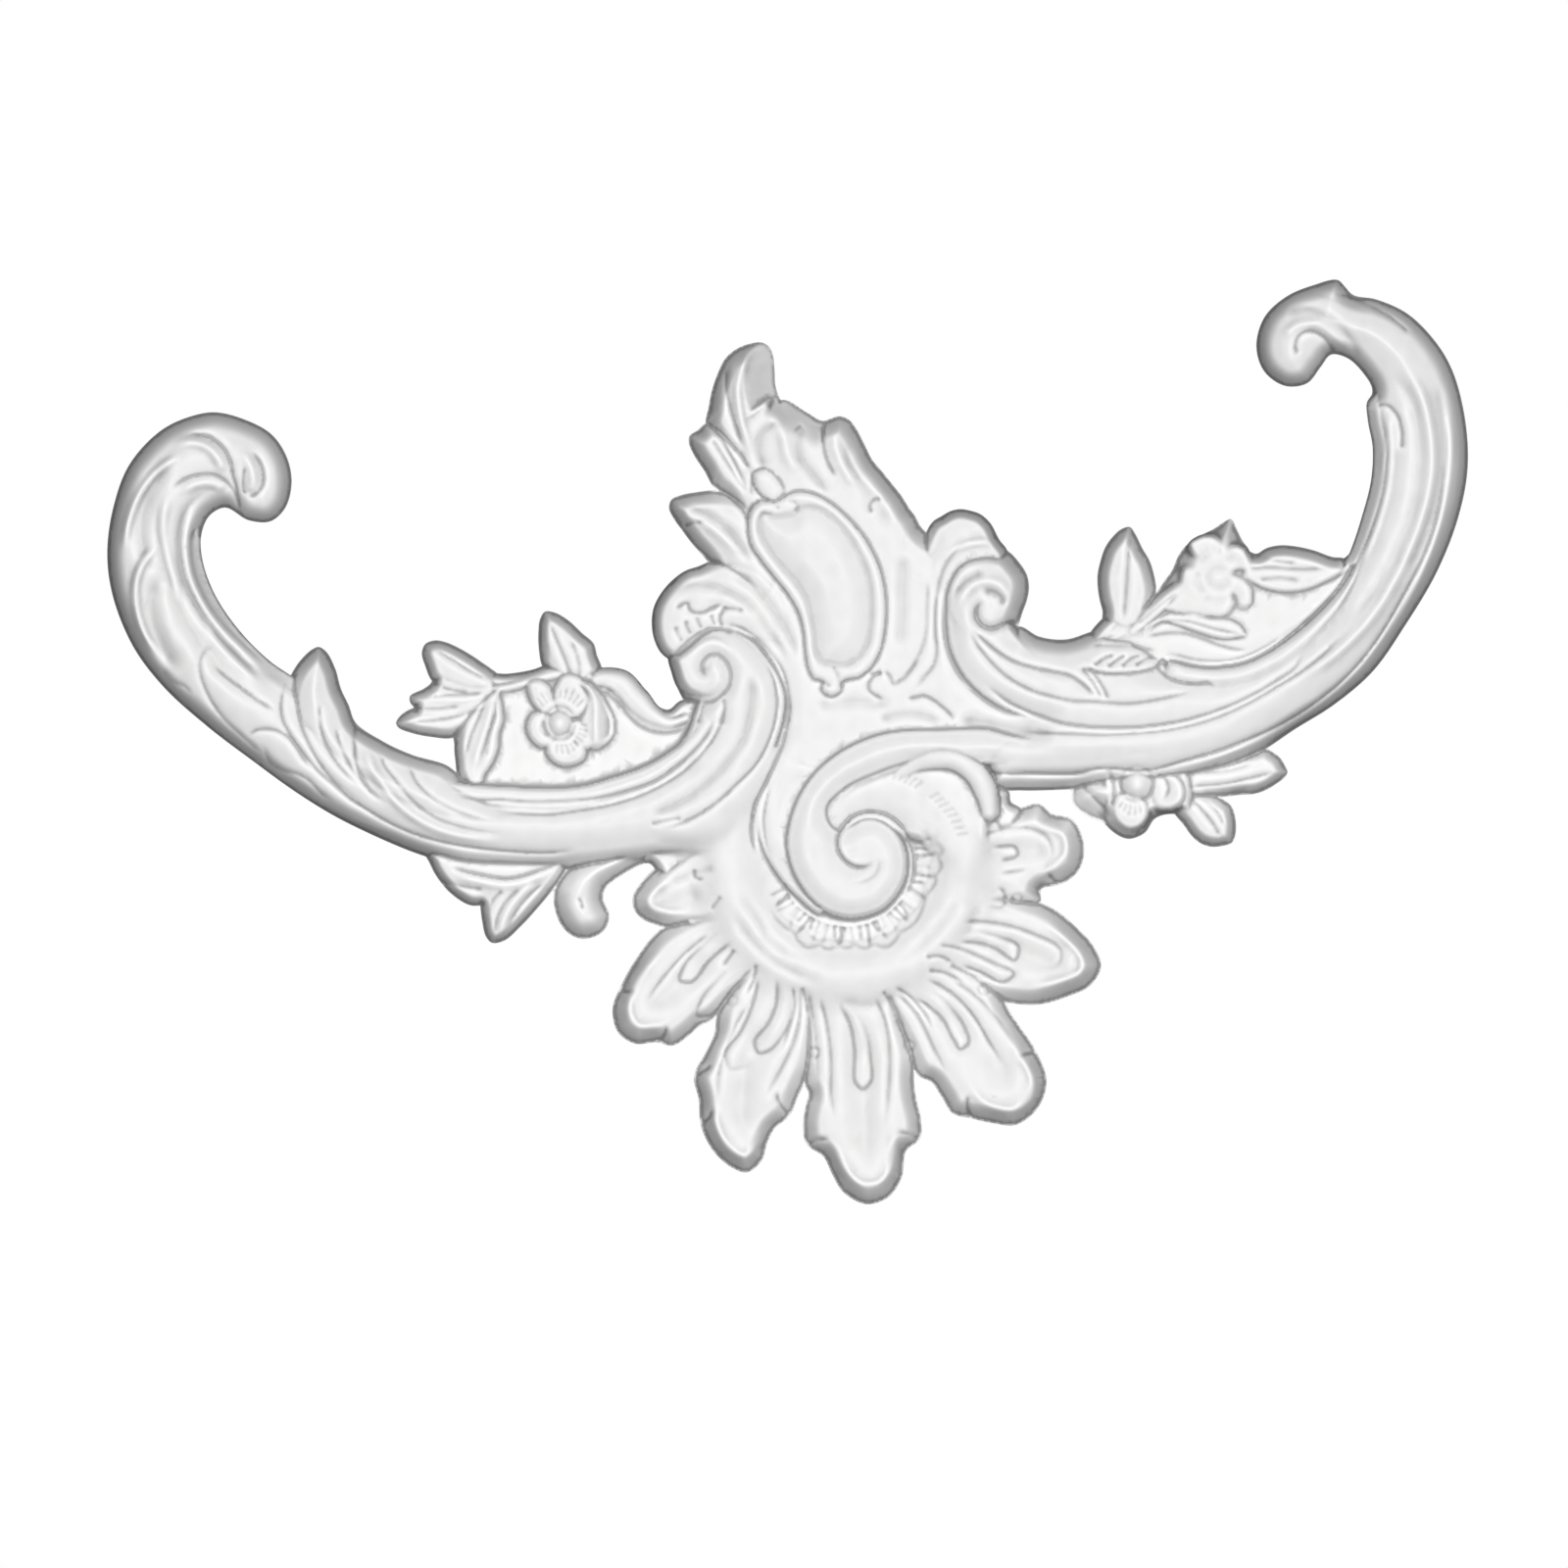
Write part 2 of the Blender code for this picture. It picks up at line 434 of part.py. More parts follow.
def small_left_volute(r):
    r.pad([-59,65, -57.5,57, -55,50, -51,45, -43,41, -35,41.5, -28,45, -23,51, -20,60, -22,70, -29,77,
            -37,79.3, -45,76.5, -52,71], 24.0, 6.0, dome=2.5, spread=12.0, draft=1.7, soft=1.5)
    spiral = [-38,54.3, -41,57, -41.7,61, -39,65, -34.5,66, -30,63, -27.3,57, -28,50.5, -31.5,45.5, -37,42,
        -43,41.7, -48,44, -51,48]
    r.grooves((0.1, 0.1), (1.8, 1.6, spiral), (2.4, 4.0, spiral),
        (2.6, 1.8, [-57,65, -53.5,68.5, -49,73, -43.5,76.8, -37,79.3, -31,78.5, -25,76.5]),
        (2.0, 1.9, [-42,41, -42.5,37, -45,31]), (1.4, 1.8, [-31,44, -30.5,38, -32,30]))


def crest(r):
    # core of the crest down to the centre of the piece
    r.pad([-40,80, -26,90, -12,104, -8,120, -10,138, -10,152, 0,166, 12,176, 30,172, 48,152, 62,130, 74,120,
            86,112, 96,96, 100,60, 130,40, 160,28, 150,12, 100,12, 40,0, 10,-30, -14,-34, -20,-20, -18,-4,
            -10,14, -6,34, -8,52, -18,68, -32,76], 18.5, 8.0, dome=2.0, spread=16.0)
    # top leaf
    r.pad([-40,184, -38.5,192, -37,200, -34,209, -30,217, -25,221.5, -18,224.5, -11,225.2, -7.5,223,
            -5.5,218, -4.8,211, -4.5,203, 0,190, 4,170, -2,150, -14,146, -28,165], 17.5, 8.5, dome=2.0,
        spread=18.0)
    r.pad([-14,188, -8,193.5, 0,196, 11,190, 20,185.3, 24,186.5, 28,187.7, 33,186, 37,181, 41,173.5,
            45,165.5, 50,159.5, 56,152, 60,147, 64,140.5, 67,136.5, 70,131, 72.5,128.5, 82,121, 90,106,
            80,92, 40,96, 14,118, -16,150, -20,170], 18.0, 9.0, dome=2.5, spread=20.0)
    # the two leaves that point left
    r.pad([-40,184, -44,180.5, -48.3,177.5, -48.5,174, -46,168, -40.5,159.5, -36,151.5, -30,146, -18,128,
            -4,132, 2,150, -14,168, -32,184], 15.5, 8.0, dome=3.5, spread=13.0, soft=2.0)
    r.pad([-37,149.8, -44,149, -52,147.5, -57.5,145, -58.7,141, -56,135, -52,129.5, -48,124, -41,116,
            -38,112, -34,104, -18,92, 2,84, 10,104, 2,130, -12,144, -26,149], 15.5, 7.5, dome=4.5,
        spread=16.0, soft=2.5)
    # rounded frilly lobe
    r.pad([-62,66, -66,73, -67.5,82, -66.5,90, -63,97, -57,104, -50,109, -44,111, -38,113.5, -28,116,
            -12,112, 2,98, 6,84, 2,68, -14,70, -40,70, -54,62], 18.0, 8.0, dome=3.4, spread=16.0, soft=2.5)


def crest_carving(r):
    # the top leaf's face right of its ridge leans away, and the swell under the arc rolls up
    r.facet([-22,222, -10,223, -5,217, -4,204, -2,197, -9,194, -18,187, -24,200, -25,212], (-0.42, 0.22),
        4.0, -0.8)
    r.facet([-4,196, 4,192, 13,188, 19,184, 17,178, 8,180, 0,184, -6,190], (0.1, -0.5), 3.0)
    r.lap([-40,184, -34,178, -28,168, -22,156, -18,146], 3.0, 5.0, side=1, fade=(0.05, 0.3))
    r.lap([-37,149.5, -30,147, -24,142, -19,135, -17,126], 4.0, 5.0, side=1, fade=(0.05, 0.2))
    r.lap([-21,187, -16,188.5, -10,193, -3,196], 2.4, 4.0, side=-1, fade=(0.25, 0.05))
    r.lap([-44,112, -36,112.5, -30,110.5, -22,106, -12,98], 2.6, 4.5, side=1, fade=(0.05, 0.4))
    r.grooves((0.15, 0.2), (-2.0, 1.7, [-15,222, -21,214, -24.5,204, -24,192, -21,180, -16,168]),
        (2.4, 1.8, [-28.5,214, -29.5,202, -27,190, -24,180, -21,172]),
        (1.6, 2.6, [-2,186, -12,178, -13,168, -8,160]), (-1.2, 2.6, [-8,190, -1,180, 2,168, 8,158]),
        (2.6, 1.8, [21.5,186, 20.5,179, 20.5,171, 23,163, 27,156]),
        (1.6, 2.6, [11,184, 8,175, 9,166, 16,156, 24,147]), (-1.4, 2.4, [26,184, 26,174, 30,163, 38,151]),
        (1.2, 3.0, [34,178, 33,168, 39,156, 48,144, 56,130]),
        (2.2, 1.7, [-46,175, -40,167, -34,158, -28,150, -22,142]),
        (1.6, 1.8, [-38,178, -31,167, -24,156, -18,147]), (-1.2, 1.8, [-43,178, -36,169, -29,158]),
        (2.0, 1.6, [-51,131, -47,133, -41,133.5]),
        (1.8, 2.6, [-50,142, -40,139, -30,132, -22,122, -16,112]),
        (-1.2, 2.2, [-54,138, -42,134, -32,127, -22,117]),
        (2.6, 1.7, [-56,88.5, -51,92, -49.3,92, -48.3,89.5, -45,87.3, -40,88, -36,90, -32,91.5, -30,91.2]),
        (2.6, 1.6, [-30,91.5, -31,88.5, -32.6,85.5, -32.4,82.5, -31,79.5]),
        (1.4, 1.6, [-31,89.5, -27,89.5, -20,88.5]), (1.6, 1.4, [-37.5,87, -36,83, -35,80.5]),
        (1.6, 1.4, [-44.5,86, -43.5,82, -41.5,79]), (1.6, 1.5, [-50,84, -49,79, -46.5,76]),
        (1.4, 1.8, [-55.5,81, -54,76, -51,72]),
        (1.4, 2.6, [-60,97, -48,102, -36,101, -24,95, -12,84, -2,70, 5,58]),
        (1.2, 2.6, [-26,108, -15,101, -6,90, 2,77, 7,62]), (-0.9, 2.6, [-34,97, -22,92, -12,84, -3,74]),
        (1.1, 3.2, [61,118, 60,100, 60,84, 58,68]),
        (1.2, 1.9, [73.6,105, 73,90, 72.6,78, 69.5,67, 63,57, 56,51.5]),
        (1.6, 1.9, [94,126, 91,122, 86,117, 81.5,110, 78.7,100, 77.3,88, 77.3,76, 78,68, 76,60, 71,54,
            67,49, 62.5,46.5]), (2.4, 1.8, [62,43.5, 67,44.3, 71,45, 75,43.5, 80,40, 84,36.5, 87.5,32]),
        (1.8, 1.6, [43.5,56, 47,56.5, 50.5,57]),
        (2.0, 1.6, [51,57, 46,55, 43.4,51.5, 43.6,48, 47,45, 52,43.5]),
        (1.4, 1.5, [49,57, 52.5,56.5, 54.5,54, 56,51.5, 60,53, 65,58, 69,65]),
        (2.4, 3.4, [88,33, 100,31.2, 112,28.8, 125,27, 140,26]),
        (1.2, 2.6, [48,33, 60,35.5, 68,35.5, 75,33.5, 80,30.5]),
        (1.2, 3.4, [16,40, 30,41.5, 44,41.5, 56,40]))
    r.groove([3.5,179, 7,181, 10.5,184.5], 2.4, 1.5, fade=(0.02, 0.02))
    # small dent near the right edge and the small knobs beside the bud
    r.groove([45,138, 44,142, 46,145, 50,145.5], 1.8, 1.6)
    for cx, cz, q in ((-21.5, 166, 2.2), (-18, 160, 2.4), (-7, 141.5, 3.2), (4, 140.5, 3.2)):
        r.pad(ellipse(cx, cz, q, q), 0.9, q, base=20.4)


def cartouche(r):
    outer = [-12,144.5, -17,140, -18.5,130, -17,122, -12,114, -5,105, 2,96, 7,87, 9.5,78, 10.5,68, 12,59,
        15,53.5, 19,52, 19,47.5, 24,44.5, 29,47, 30.5,52, 33,53, 38,54, 44.5,59, 49.5,68, 52,80, 52.3,95,
        50,108, 46,118, 40,128, 33,136, 25,143, 15,148.5, 6,149.5, -3,145.5]
    inner = [-11,139, -14,133, -13,127, -8,118, 0,108, 6,101, 10,94, 12,86, 13.5,76, 15,67, 19,61.5, 25,60,
        32,60, 39,64, 43.5,71, 45.5,81, 46,92, 45,103, 41,115, 35,126, 28,135, 20,141, 10,142.5, 3,139,
        -4,138]
    r.pad(outer, 2.6, 3.0, base=20.3, over=True)
    r.pad(inner, -2.2, 2.0, dome=3.6, spread=13.0, base=22.9, over=True)
    r.groove(outer + outer[:2], 1.5, 1.4, fade=(0, 0))
    r.groove(inner + inner[:2], 1.2, 1.3, fade=(0, 0))
    r.grooves((0.2, 0.2), (1.2, 1.3, [24,61, 27,57, 28.5,52, 29,48]), (1.4, 1.4, [19,52, 22,51, 23,49]),
        (1.2, 1.3, [-11,143, -8,145, -4,142.5, -3,139]), (1.2, 1.3, [1,146, 4,144.5, 7,142, 5,138.5]))
    # bud above it
    bud = ellipse(-8.5, 153, 6.8, 8.0)
    r.pad(bud, 1.6, 6.0, base=20.3, draft=1.6)
    r.groove(bud + bud[:1], 0.6, 1.2, fade=(0, 0))
    r.grooves((0.3, 0.3), (1.3, 1.4, [-15,146, -17,150, -16.5,155, -15,159]))


def right_volute(r):
    # the lobe behind, then the band that rolls up and over into the volute
    r.pad([72.5,128.5, 76,134, 80,136.5, 85,139.3, 90,140.3, 95,139.5, 100,137.8, 105,133.5, 110,124.5,
            114,119, 112,106, 92,92, 74,84, 66,100, 68,115], 17.5, 5.0, dome=3.0, spread=16.0)
    r.pad([77,88, 77.5,100, 80.5,108.5, 84.5,114.5, 90,118.6, 97,120.8, 106,121.2, 114,119, 120,113,
            124,106.5, 125,100, 124,94, 121.5,87, 119.7,80.5, 118,72, 104,64, 88,70], 20.5, 9.0, dome=5.5,
        spread=15.0)
    r.pad([80.5,98, 80,90, 80.2,80, 82,69, 87,57, 96,46, 108,37.5, 124,31.5, 150,28.5, 176,30, 170,46,
            140,60, 124,74, 112,90, 100,104, 88,106], 20.5, 4.0, dome=5.5, spread=15.0, soft=2.0)
    curl = [119.5,80.5, 116,82.5, 112,81.5, 108,79.8, 104.5,79.5, 101,81, 98.6,84, 98,88, 99.5,91.5,
        103,93.3]
    r.groove(curl, 3.6, 2.6, fade=(0.02, 0.3))
    r.groove(curl, 2.2, 1.6, fade=(0.1, 0.25))
    r.grooves((0.3, 0.25), (2.2, 2.3, [100,98, 104,98.2, 108,97, 111,94.5, 111.8,92, 111,89.5]),
        (1.6, 2.6, [86,94, 88.5,99, 93,104, 97.5,106.7, 104,107.5]),
        (-1.3, 2.4, [88,86, 90,94, 95,101, 102,103.5, 110,101.5, 114.5,95, 114,88]),
        (-1.2, 1.6, [82,113.5, 85.5,118, 91,121.5, 98,123.2, 106,123.3, 111,121.5]),
        (2.4, 1.9, [82,98, 81.3,90, 81.7,80, 83,70, 87,59.5, 93,51, 100,44.5, 108,39, 116,35.3, 125,32.5]),
        (-1.2, 1.6, [79.5,103, 79,94, 78.9,86, 79.3,76, 80.5,66]))


def right_arm(r):
    r.pad([246,18, 260,27.5, 280,40, 300,57, 317,81, 333,108, 344,136, 348.7,160, 347.8,184, 341,211,
            334,223.5, 318,240, 302,247.3, 290,249.8, 286,254, 283,257, 270,254.5, 256,248.5, 245,238,
            241,223, 245,210.5, 256,203, 267,204.5, 274,213, 279,219, 287,217.5, 296,209, 300,202, 300,199,
            297.5,195, 297.8,186, 300.3,172, 299.5,155, 295,137, 289,119, 280,99.5, 270,88.5, 258,78,
            244,68.5, 230,63.5, 212,62.8, 196,66, 190,69.5, 184,73.5, 178,77, 170,78, 161,79, 156,77.5,
            144,73.8, 130,75.3, 119.7,80.5, 108,72, 102,60, 108,50, 118,42, 122,36, 119,31, 112,26, 96,22,
            84,18, 88,12, 98,8, 104,3, 106,-2, 121,-3.3, 143.5,-2.8, 160,-2, 190,-1, 212,3, 230,9], 17.0,
        9.0, dome=9.0, spread=22.0)
    # short step where the arm stands on the infill
    r.pad([194,65, 200,65.5, 208,63.5, 218,62.5, 230,63.5, 240,67, 250,72.5, 260,79.5, 270,88.5, 280,99.5,
            288,114, 294.5,132, 298.5,150, 303,140, 299,118, 288,92, 276,74, 258,58, 236,48, 210,46,
            190,50], 21.5, 4.0, dome=4.5, spread=12.0, soft=1.5)


def right_arm_carving(r):
    r.lap([96.5,80, 100,75.5, 108,68.5, 117,63, 127,59.7, 137,57.7, 146,55.5, 154,50, 160,44], 1.8, 5.0,
        side=-1, fade=(0.15, 0.1))
    r.lap([98,54, 104,49, 112,43, 120,38.5, 130,34.5, 140,31.3, 152,29.3, 165,28.5, 180,28.7, 205,32.5,
            225,39], 2.0, 6.0, side=1, fade=(0.15, 0.3))
    r.grooves((0.1, 0.12),
        (1.8, 1.7, [96.5,80, 100,75.5, 108,68.5, 117,63, 127,59.7, 137,57.7, 146,55.5, 154,50, 160,44]),
        (2.0, 1.6, [94.5,80, 97.5,73, 103,65.5, 110,58, 118,52, 127,47.5, 137,44.5, 147,42.5, 160,42,
            175,41, 185,42, 197,44.5, 210,48]),
        (2.2, 1.8, [104,50, 112,43, 120,38.5, 130,34.5, 140,31.3, 152,29.3, 165,28.5, 180,28.7, 192,30,
            205,32.5, 215,35.5, 225,39, 238,45, 250,52, 261,60, 264,66, 265,71]),
        (1.8, 1.6, [120,26.8, 135,26, 150,25.5, 165,25.3, 180,26, 195,27.5, 215,32, 228,37, 240,43, 252,50,
            264,57.5, 276,67, 286,78]),
        (2.6, 1.9, [104,8, 125,6.3, 150,6.3, 162,8, 185,7, 205,12, 230,20, 255,31.5, 275,44.5, 292,60,
            303,74, 316,96, 328,120, 335,145, 337,168]),
        (1.6, 1.6, [190,1.5, 212,5, 232,12, 250,21, 270,34, 290,51, 306,70, 320,94, 333,122]),
        (-1.4, 1.7, [200,7, 222,14, 246,23, 268,36, 286,50, 302,69, 318,94, 331,122, 338,150, 340,176,
            336,200]),
        (1.6, 3.6, [311,212, 319,198, 323,183, 324.5,165, 322,145, 315,124, 303,101, 288,82]),
        (-1.7, 2.4, [318,212, 326,196, 330,178, 330.5,158, 325,134, 314,108, 299,84, 281,66, 262,53]),
        (1.4, 3.4, [333,206, 336,186, 336,160, 329,132, 317,106]),
        (-1.2, 1.8, [308,190, 309.5,172, 308,152, 303,133, 294,112]),
        (2.4, 1.8, [302,192.5, 307,193.5, 312,189.5, 315,181, 315,170]),
        (2.2, 2.0, [281,219, 277.5,225.5, 273,229.5, 268,231, 262.5,228.5, 261,223, 263,218]),
        (-1.2, 2.0, [286,222, 280,229, 272,234.5, 262,234, 255,228]),
        (2.4, 1.8, [281,250.5, 290,247.8, 300,243.5, 311,237, 320,229]),
        (1.6, 2.6, [294,216, 288,228, 278,238, 266,243, 255,240]))
    r.facet([283,256, 288,250, 300,246, 300,240, 284,244, 270,250], (0.1, 0.25), 3.0)


def right_sprig(r):
    # tall leaf
    r.pad([172,75, 162.5,82, 162.5,88, 161,94, 160,101, 160,107, 161.5,114, 164,121, 168,126.5, 172,130,
            176.5,131.2, 179,128, 183,120, 186.5,114, 188.5,108, 190,98, 188,88, 184,78], 16.0, 6.5,
        dome=2.5, spread=12.0)
    # right-hand leaf
    r.pad([236,119, 241,117.5, 246,120.3, 253,121.8, 260,121.4, 270,119.3, 280,115.8, 286,115, 288,108,
            268,99.5, 250,99, 239,102, 230,108], 15.0, 5.5, dome=2.0, spread=10.0)
    # body of the flower head, then the leaf under it
    r.pad([186,96, 190,98, 194,103.5, 198,109, 201,116, 205,121.5, 211,126, 219,130, 225,134, 228,135.3,
            231,130, 234,124, 237.5,119, 237,108, 238,98, 234,88, 226,80, 210,76, 196,80, 186,86], 19.0,
        10.0, dome=2.0, spread=12.0)
    r.pad([180,80, 184,74, 188,77, 192,79, 198,78, 208,74.5, 222,70.5, 232,71, 239.5,73.5, 238.5,79, 235,84,
            228,87.5, 218,88.5, 208,91, 200,92, 190,88], 18.5, 5.0, dome=2.5, spread=9.0)
    r.strip([178,78, 188,87, 199,97, 208,104], (4.5, 5, 5, 4), (18.5, 20.5, 21, 20.5), bulge=2.6)
    flower(r, (222, 105), (6.4, 5.4), 19.0, 21.2, 1.7,
        [222,112, 219,120, 222,128, 228,134, 232,127, 234,119, 230,112],
        [228,110, 233,117, 237,117, 238,110, 235,105, 229,103],
        [229,104, 236,104, 238.5,98, 235,92, 229,92, 225,98],
        [226,99, 231,93, 229,86, 222,84, 216,88, 216,95, 220,99],
        [217,104, 209,104, 205,98, 208,91, 215,90, 219,97],
        [218,107, 213,113, 207,113, 203,107, 206,100, 213,100],
        [220,110, 218,118, 211,121, 206,116, 209,109, 215,106])
    # cut end of the branch
    r.lap([148,60.5, 155,59, 164,57, 174,57, 183,58.2, 189,60.2, 193.5,64.5], 3.4, 4.5, side=-1,
        fade=(0.2, 0.02))
    r.grooves((0.12, 0.2), (1.8, 1.6, [177,127, 175.5,112, 174.5,98, 173,82]),
        (1.6, 1.6, [180,81, 190,90, 201,98]), (1.6, 1.6, [186,76, 192,82, 204,83, 220,79, 236,75.5]),
        (1.3, 1.4, [196,86, 208,87, 222,84]), (1.8, 1.6, [236,110, 250,110.5, 264,109.5, 278,110.5]),
        (1.3, 1.5, [244,117, 254,113, 262,113]), (1.3, 1.5, [242,104, 254,105, 264,103.5]),
        (1.8, 1.5, [158,60, 163,64, 169,66]), (1.8, 1.5, [165,59.5, 170,63.5, 175,66]),
        (1.8, 1.5, [172,59.5, 177,64, 183,66]), (1.8, 1.5, [179,60, 184,63.5, 189,65]),
        (1.6, 1.6, [156,71, 168,70.5, 180,70, 191,67]),
        (1.5, 1.5, [193,65.5, 199,66, 208,63.8, 218,62.8, 230,63.6, 240,67, 250,72.5, 260,79.5, 270,88.5]),
        (2.6, 1.9, [192,64, 190.8,60, 194,55.8, 201,52.3, 210,51, 217,51.3, 221,48.5]),
        (2.0, 1.5, [155,59.5, 159,55, 163,48.5, 166,41.5]),
        (1.6, 1.4, [151.5,59, 155.5,55, 159.5,49, 162.5,43]))


def lower_right_sprig(r):
    r.pad([206,10, 225,13, 238,16.5, 246,18, 250,15.8, 253,13.5, 256,8.5, 257,6, 255.5,3.5, 251,0, 246,-3,
            240,-5, 233,-5.5, 220,-7, 200,-8], 11.0, 5.5, dome=2.5, spread=10.0)
    r.pad([205,-4, 216,-4, 225,-8.5, 228,-11, 230.5,-19, 230,-27, 228.5,-30, 224,-31.5, 218,-32, 213,-30.5,
            209,-27.5, 204,-21, 198,-12], 11.0, 5.5, dome=2.5, spread=10.0)
    r.pad([150,6, 146,-8, 148,-12, 155,-17, 163.5,-20.5, 170,-25, 180,-14, 180,10], 17.0, 15.0, draft=1.2)
    r.pad([160,12, 160,-8, 164,-20.5, 172,-27, 176,-28, 184,-25, 189.5,-17.5, 199,-15.3, 208,-18, 212,-6,
            208,10], 16.5, 6.5)
    flower(r, (180, 0), (8.6, 9.0), 15.0, 22.0, 3.4,
        [160,11, 160,2, 163,-6, 168,-11, 173,-8, 174,2, 170,12],
        [169,-6, 168,-14, 171,-20, 176,-22.5, 182,-21, 185.5,-16, 184.5,-9, 180,-5, 173,-4],
        [186,-7, 190,-12.5, 198,-13, 204,-8.5, 204,0, 199,5, 191,5, 186,0])
    r.grooves((0.15, 0.2), (1.8, 1.7, [206,-1, 225,0, 240,3.5, 252,6]), (1.3, 1.5, [212,6, 226,7, 240,11]),
        (1.3, 1.5, [212,-4, 226,-4, 240,-1]), (1.8, 1.7, [207,-6, 214,-14, 220,-22, 223,-29]),
        (1.3, 1.5, [213,-7, 221,-14, 225,-22]), (1.6, 1.8, [150,2, 156,-5, 163,-12, 168,-19]))


def big_volute(r):
    # crescent between the S-curve and the spiral
    r.pad([2,22, -6,10, -12,-3, -15.5,-12, -16.5,-22, -14.5,-32, -10,-42, -3,-52, 6,-61, 18,-69, 24,-66,
            14,-40, 14,-10, 30,12, 16,24], 19.0, 4.5, dome=2.0, spread=14.0)
    # cupped surface inside the coil, out to the finger
    r.pad([6,-40, 6,-16, 18,4, 36,18, 60,23, 88,22, 105,12, 108,-6, 109,-24, 106,-42, 98,-56, 86,-60,
            78,-52, 72,-40, 64,-30, 54,-28, 40,-40, 20,-50], 22.0, 12.0, soft=2.5)
    # the coil and the band that feeds it
    r.pad([170,13, 142,21, 118,27, 104,31, 80,31, 60,30.5, 48,28.5, 38,25, 28,20, 19,13.5, 10,4, 4,-6,
            0,-17, -2,-29, -1,-38, 2,-47, 8,-57, 14,-63.5, 22,-68.5, 32,-71, 42,-70, 52,-66, 59,-59, 64,-50,
            65.5,-40, 64,-31, 60,-23, 53,-17, 46,-14.5, 39,-15, 33,-18, 28,-20, 25,-14, 33,-5, 46,1.5,
            64,7.5, 80,8.3, 92,6, 104,7, 120,7.5, 144,9], 21.0, 4.6, dome=6.0, spread=13.0, soft=1.5)
    r.lap([60,-57, 64,-50, 65.5,-40, 64,-31, 60,-23, 53,-17, 46,-15, 42,-15, 36,-17, 31,-21.5, 28,-28,
            28.5,-34, 32,-39, 37,-41.5, 42,-41, 46,-38.5], 5.5, 5.5, side=-1, fade=(0.15, 0.12))
    r.groove([47,-37, 48.5,-41, 46.5,-46, 41,-49.5, 33,-50.5], 0.9, 2.2, fade=(0.3, 0.4))
    r.groove([96,3, 90,5.5, 80,8, 64,7.8, 52,4.5, 41,0, 32,-6, 27,-13], 1.2, 1.6, fade=(0.15, 0.4))
    r.groove([-6,4, -9,-8, -10.5,-20, -9,-32, -5,-43, 2,-53, 12,-62], 1.6, 1.6, fade=(0.15, 0.15))
    # the finger that curls down on the right
    r.strip([56,3, 72,12.5, 86,13, 96,7, 102.5,-4, 104.5,-14], (3, 5.5, 6.5, 6.5, 6.5, 5.0),
        (3, 6, 9, 10, 10, 9), base=(18, 18.5, 18, 17, 16), bulge=2.4)


def shell(r):
    # lobes, drawn from the collar outwards
    lobes = ([-44,-30, -67,-44, -73,-50.5, -77,-57, -76.5,-64, -72,-69, -65,-72, -58,-74, -30,-70, -20,-45],
        [-30,-62, -64,-75, -74,-87, -82,-100.5, -87.5,-115, -84.5,-127, -76,-132.5, -65,-131.8, -57,-133.5,
            -47,-127, -43,-123.5, -38,-121.5, -24,-110, -4,-96, -8,-70],
        [-18,-90, -34,-114, -35.5,-127, -40,-137, -46,-149, -43.5,-161, -42.5,-174, -37,-186, -27,-195.5,
            -19,-198.2, -11,-191.5, -8.5,-183, -5,-176, 3,-169, 7,-160, 9.8,-154, 15,-142, 18,-110, 10,-92],
        [10,-95, 9,-138, 10.5,-153.5, 12.6,-158, 11.3,-163, 9.8,-174, 11.5,-184, 20,-190, 24.5,-199,
            30,-208, 42,-214.4, 53,-211, 60,-201, 62.5,-187, 69.5,-181, 70,-172, 67.4,-160, 66.4,-151,
            67,-138, 62,-120, 56,-98], [45,-98, 60,-132, 69,-149.2, 75,-152, 80.3,-159.4, 86,-168,
            95,-170.5, 106.4,-173, 118,-174, 129.7,-165, 134,-152, 129,-137, 119,-122, 114.5,-115, 110,-104,
            90,-84], [70,-90, 100,-108, 117,-112, 130,-112.5, 145,-108.3, 156,-103, 161.8,-93, 158,-83,
            148,-72, 138,-64, 124,-58, 100,-52, 80,-60], [84,-62, 112,-64, 131,-60, 131,-54, 142,-51,
            151,-43, 153,-31, 147,-18, 136.5,-15, 130,-10, 121,-12, 108,-16, 92,-10, 80,-30], )
    for outline in lobes:
        r.pad(outline, 14.0, 8.5, dome=2.5, spread=16.0)
    # the broad swell about the volute, hollow towards it
    r.dish(SHELL_HUB, (33.0, 88.0), (11.5, 14.5, 17.5, 20.5, 21.5, 20.5, 17.5, 13.5, 9.5),
        [-30,-10, -50,-16, -58,-38, -52,-69, -41,-90, -25,-107, 1,-123, 32,-128, 63,-123, 90,-107, 110,-83,
            119,-61, 119,-38, 114,-22, 104,-8, 84,8, 50,14, 0,8])


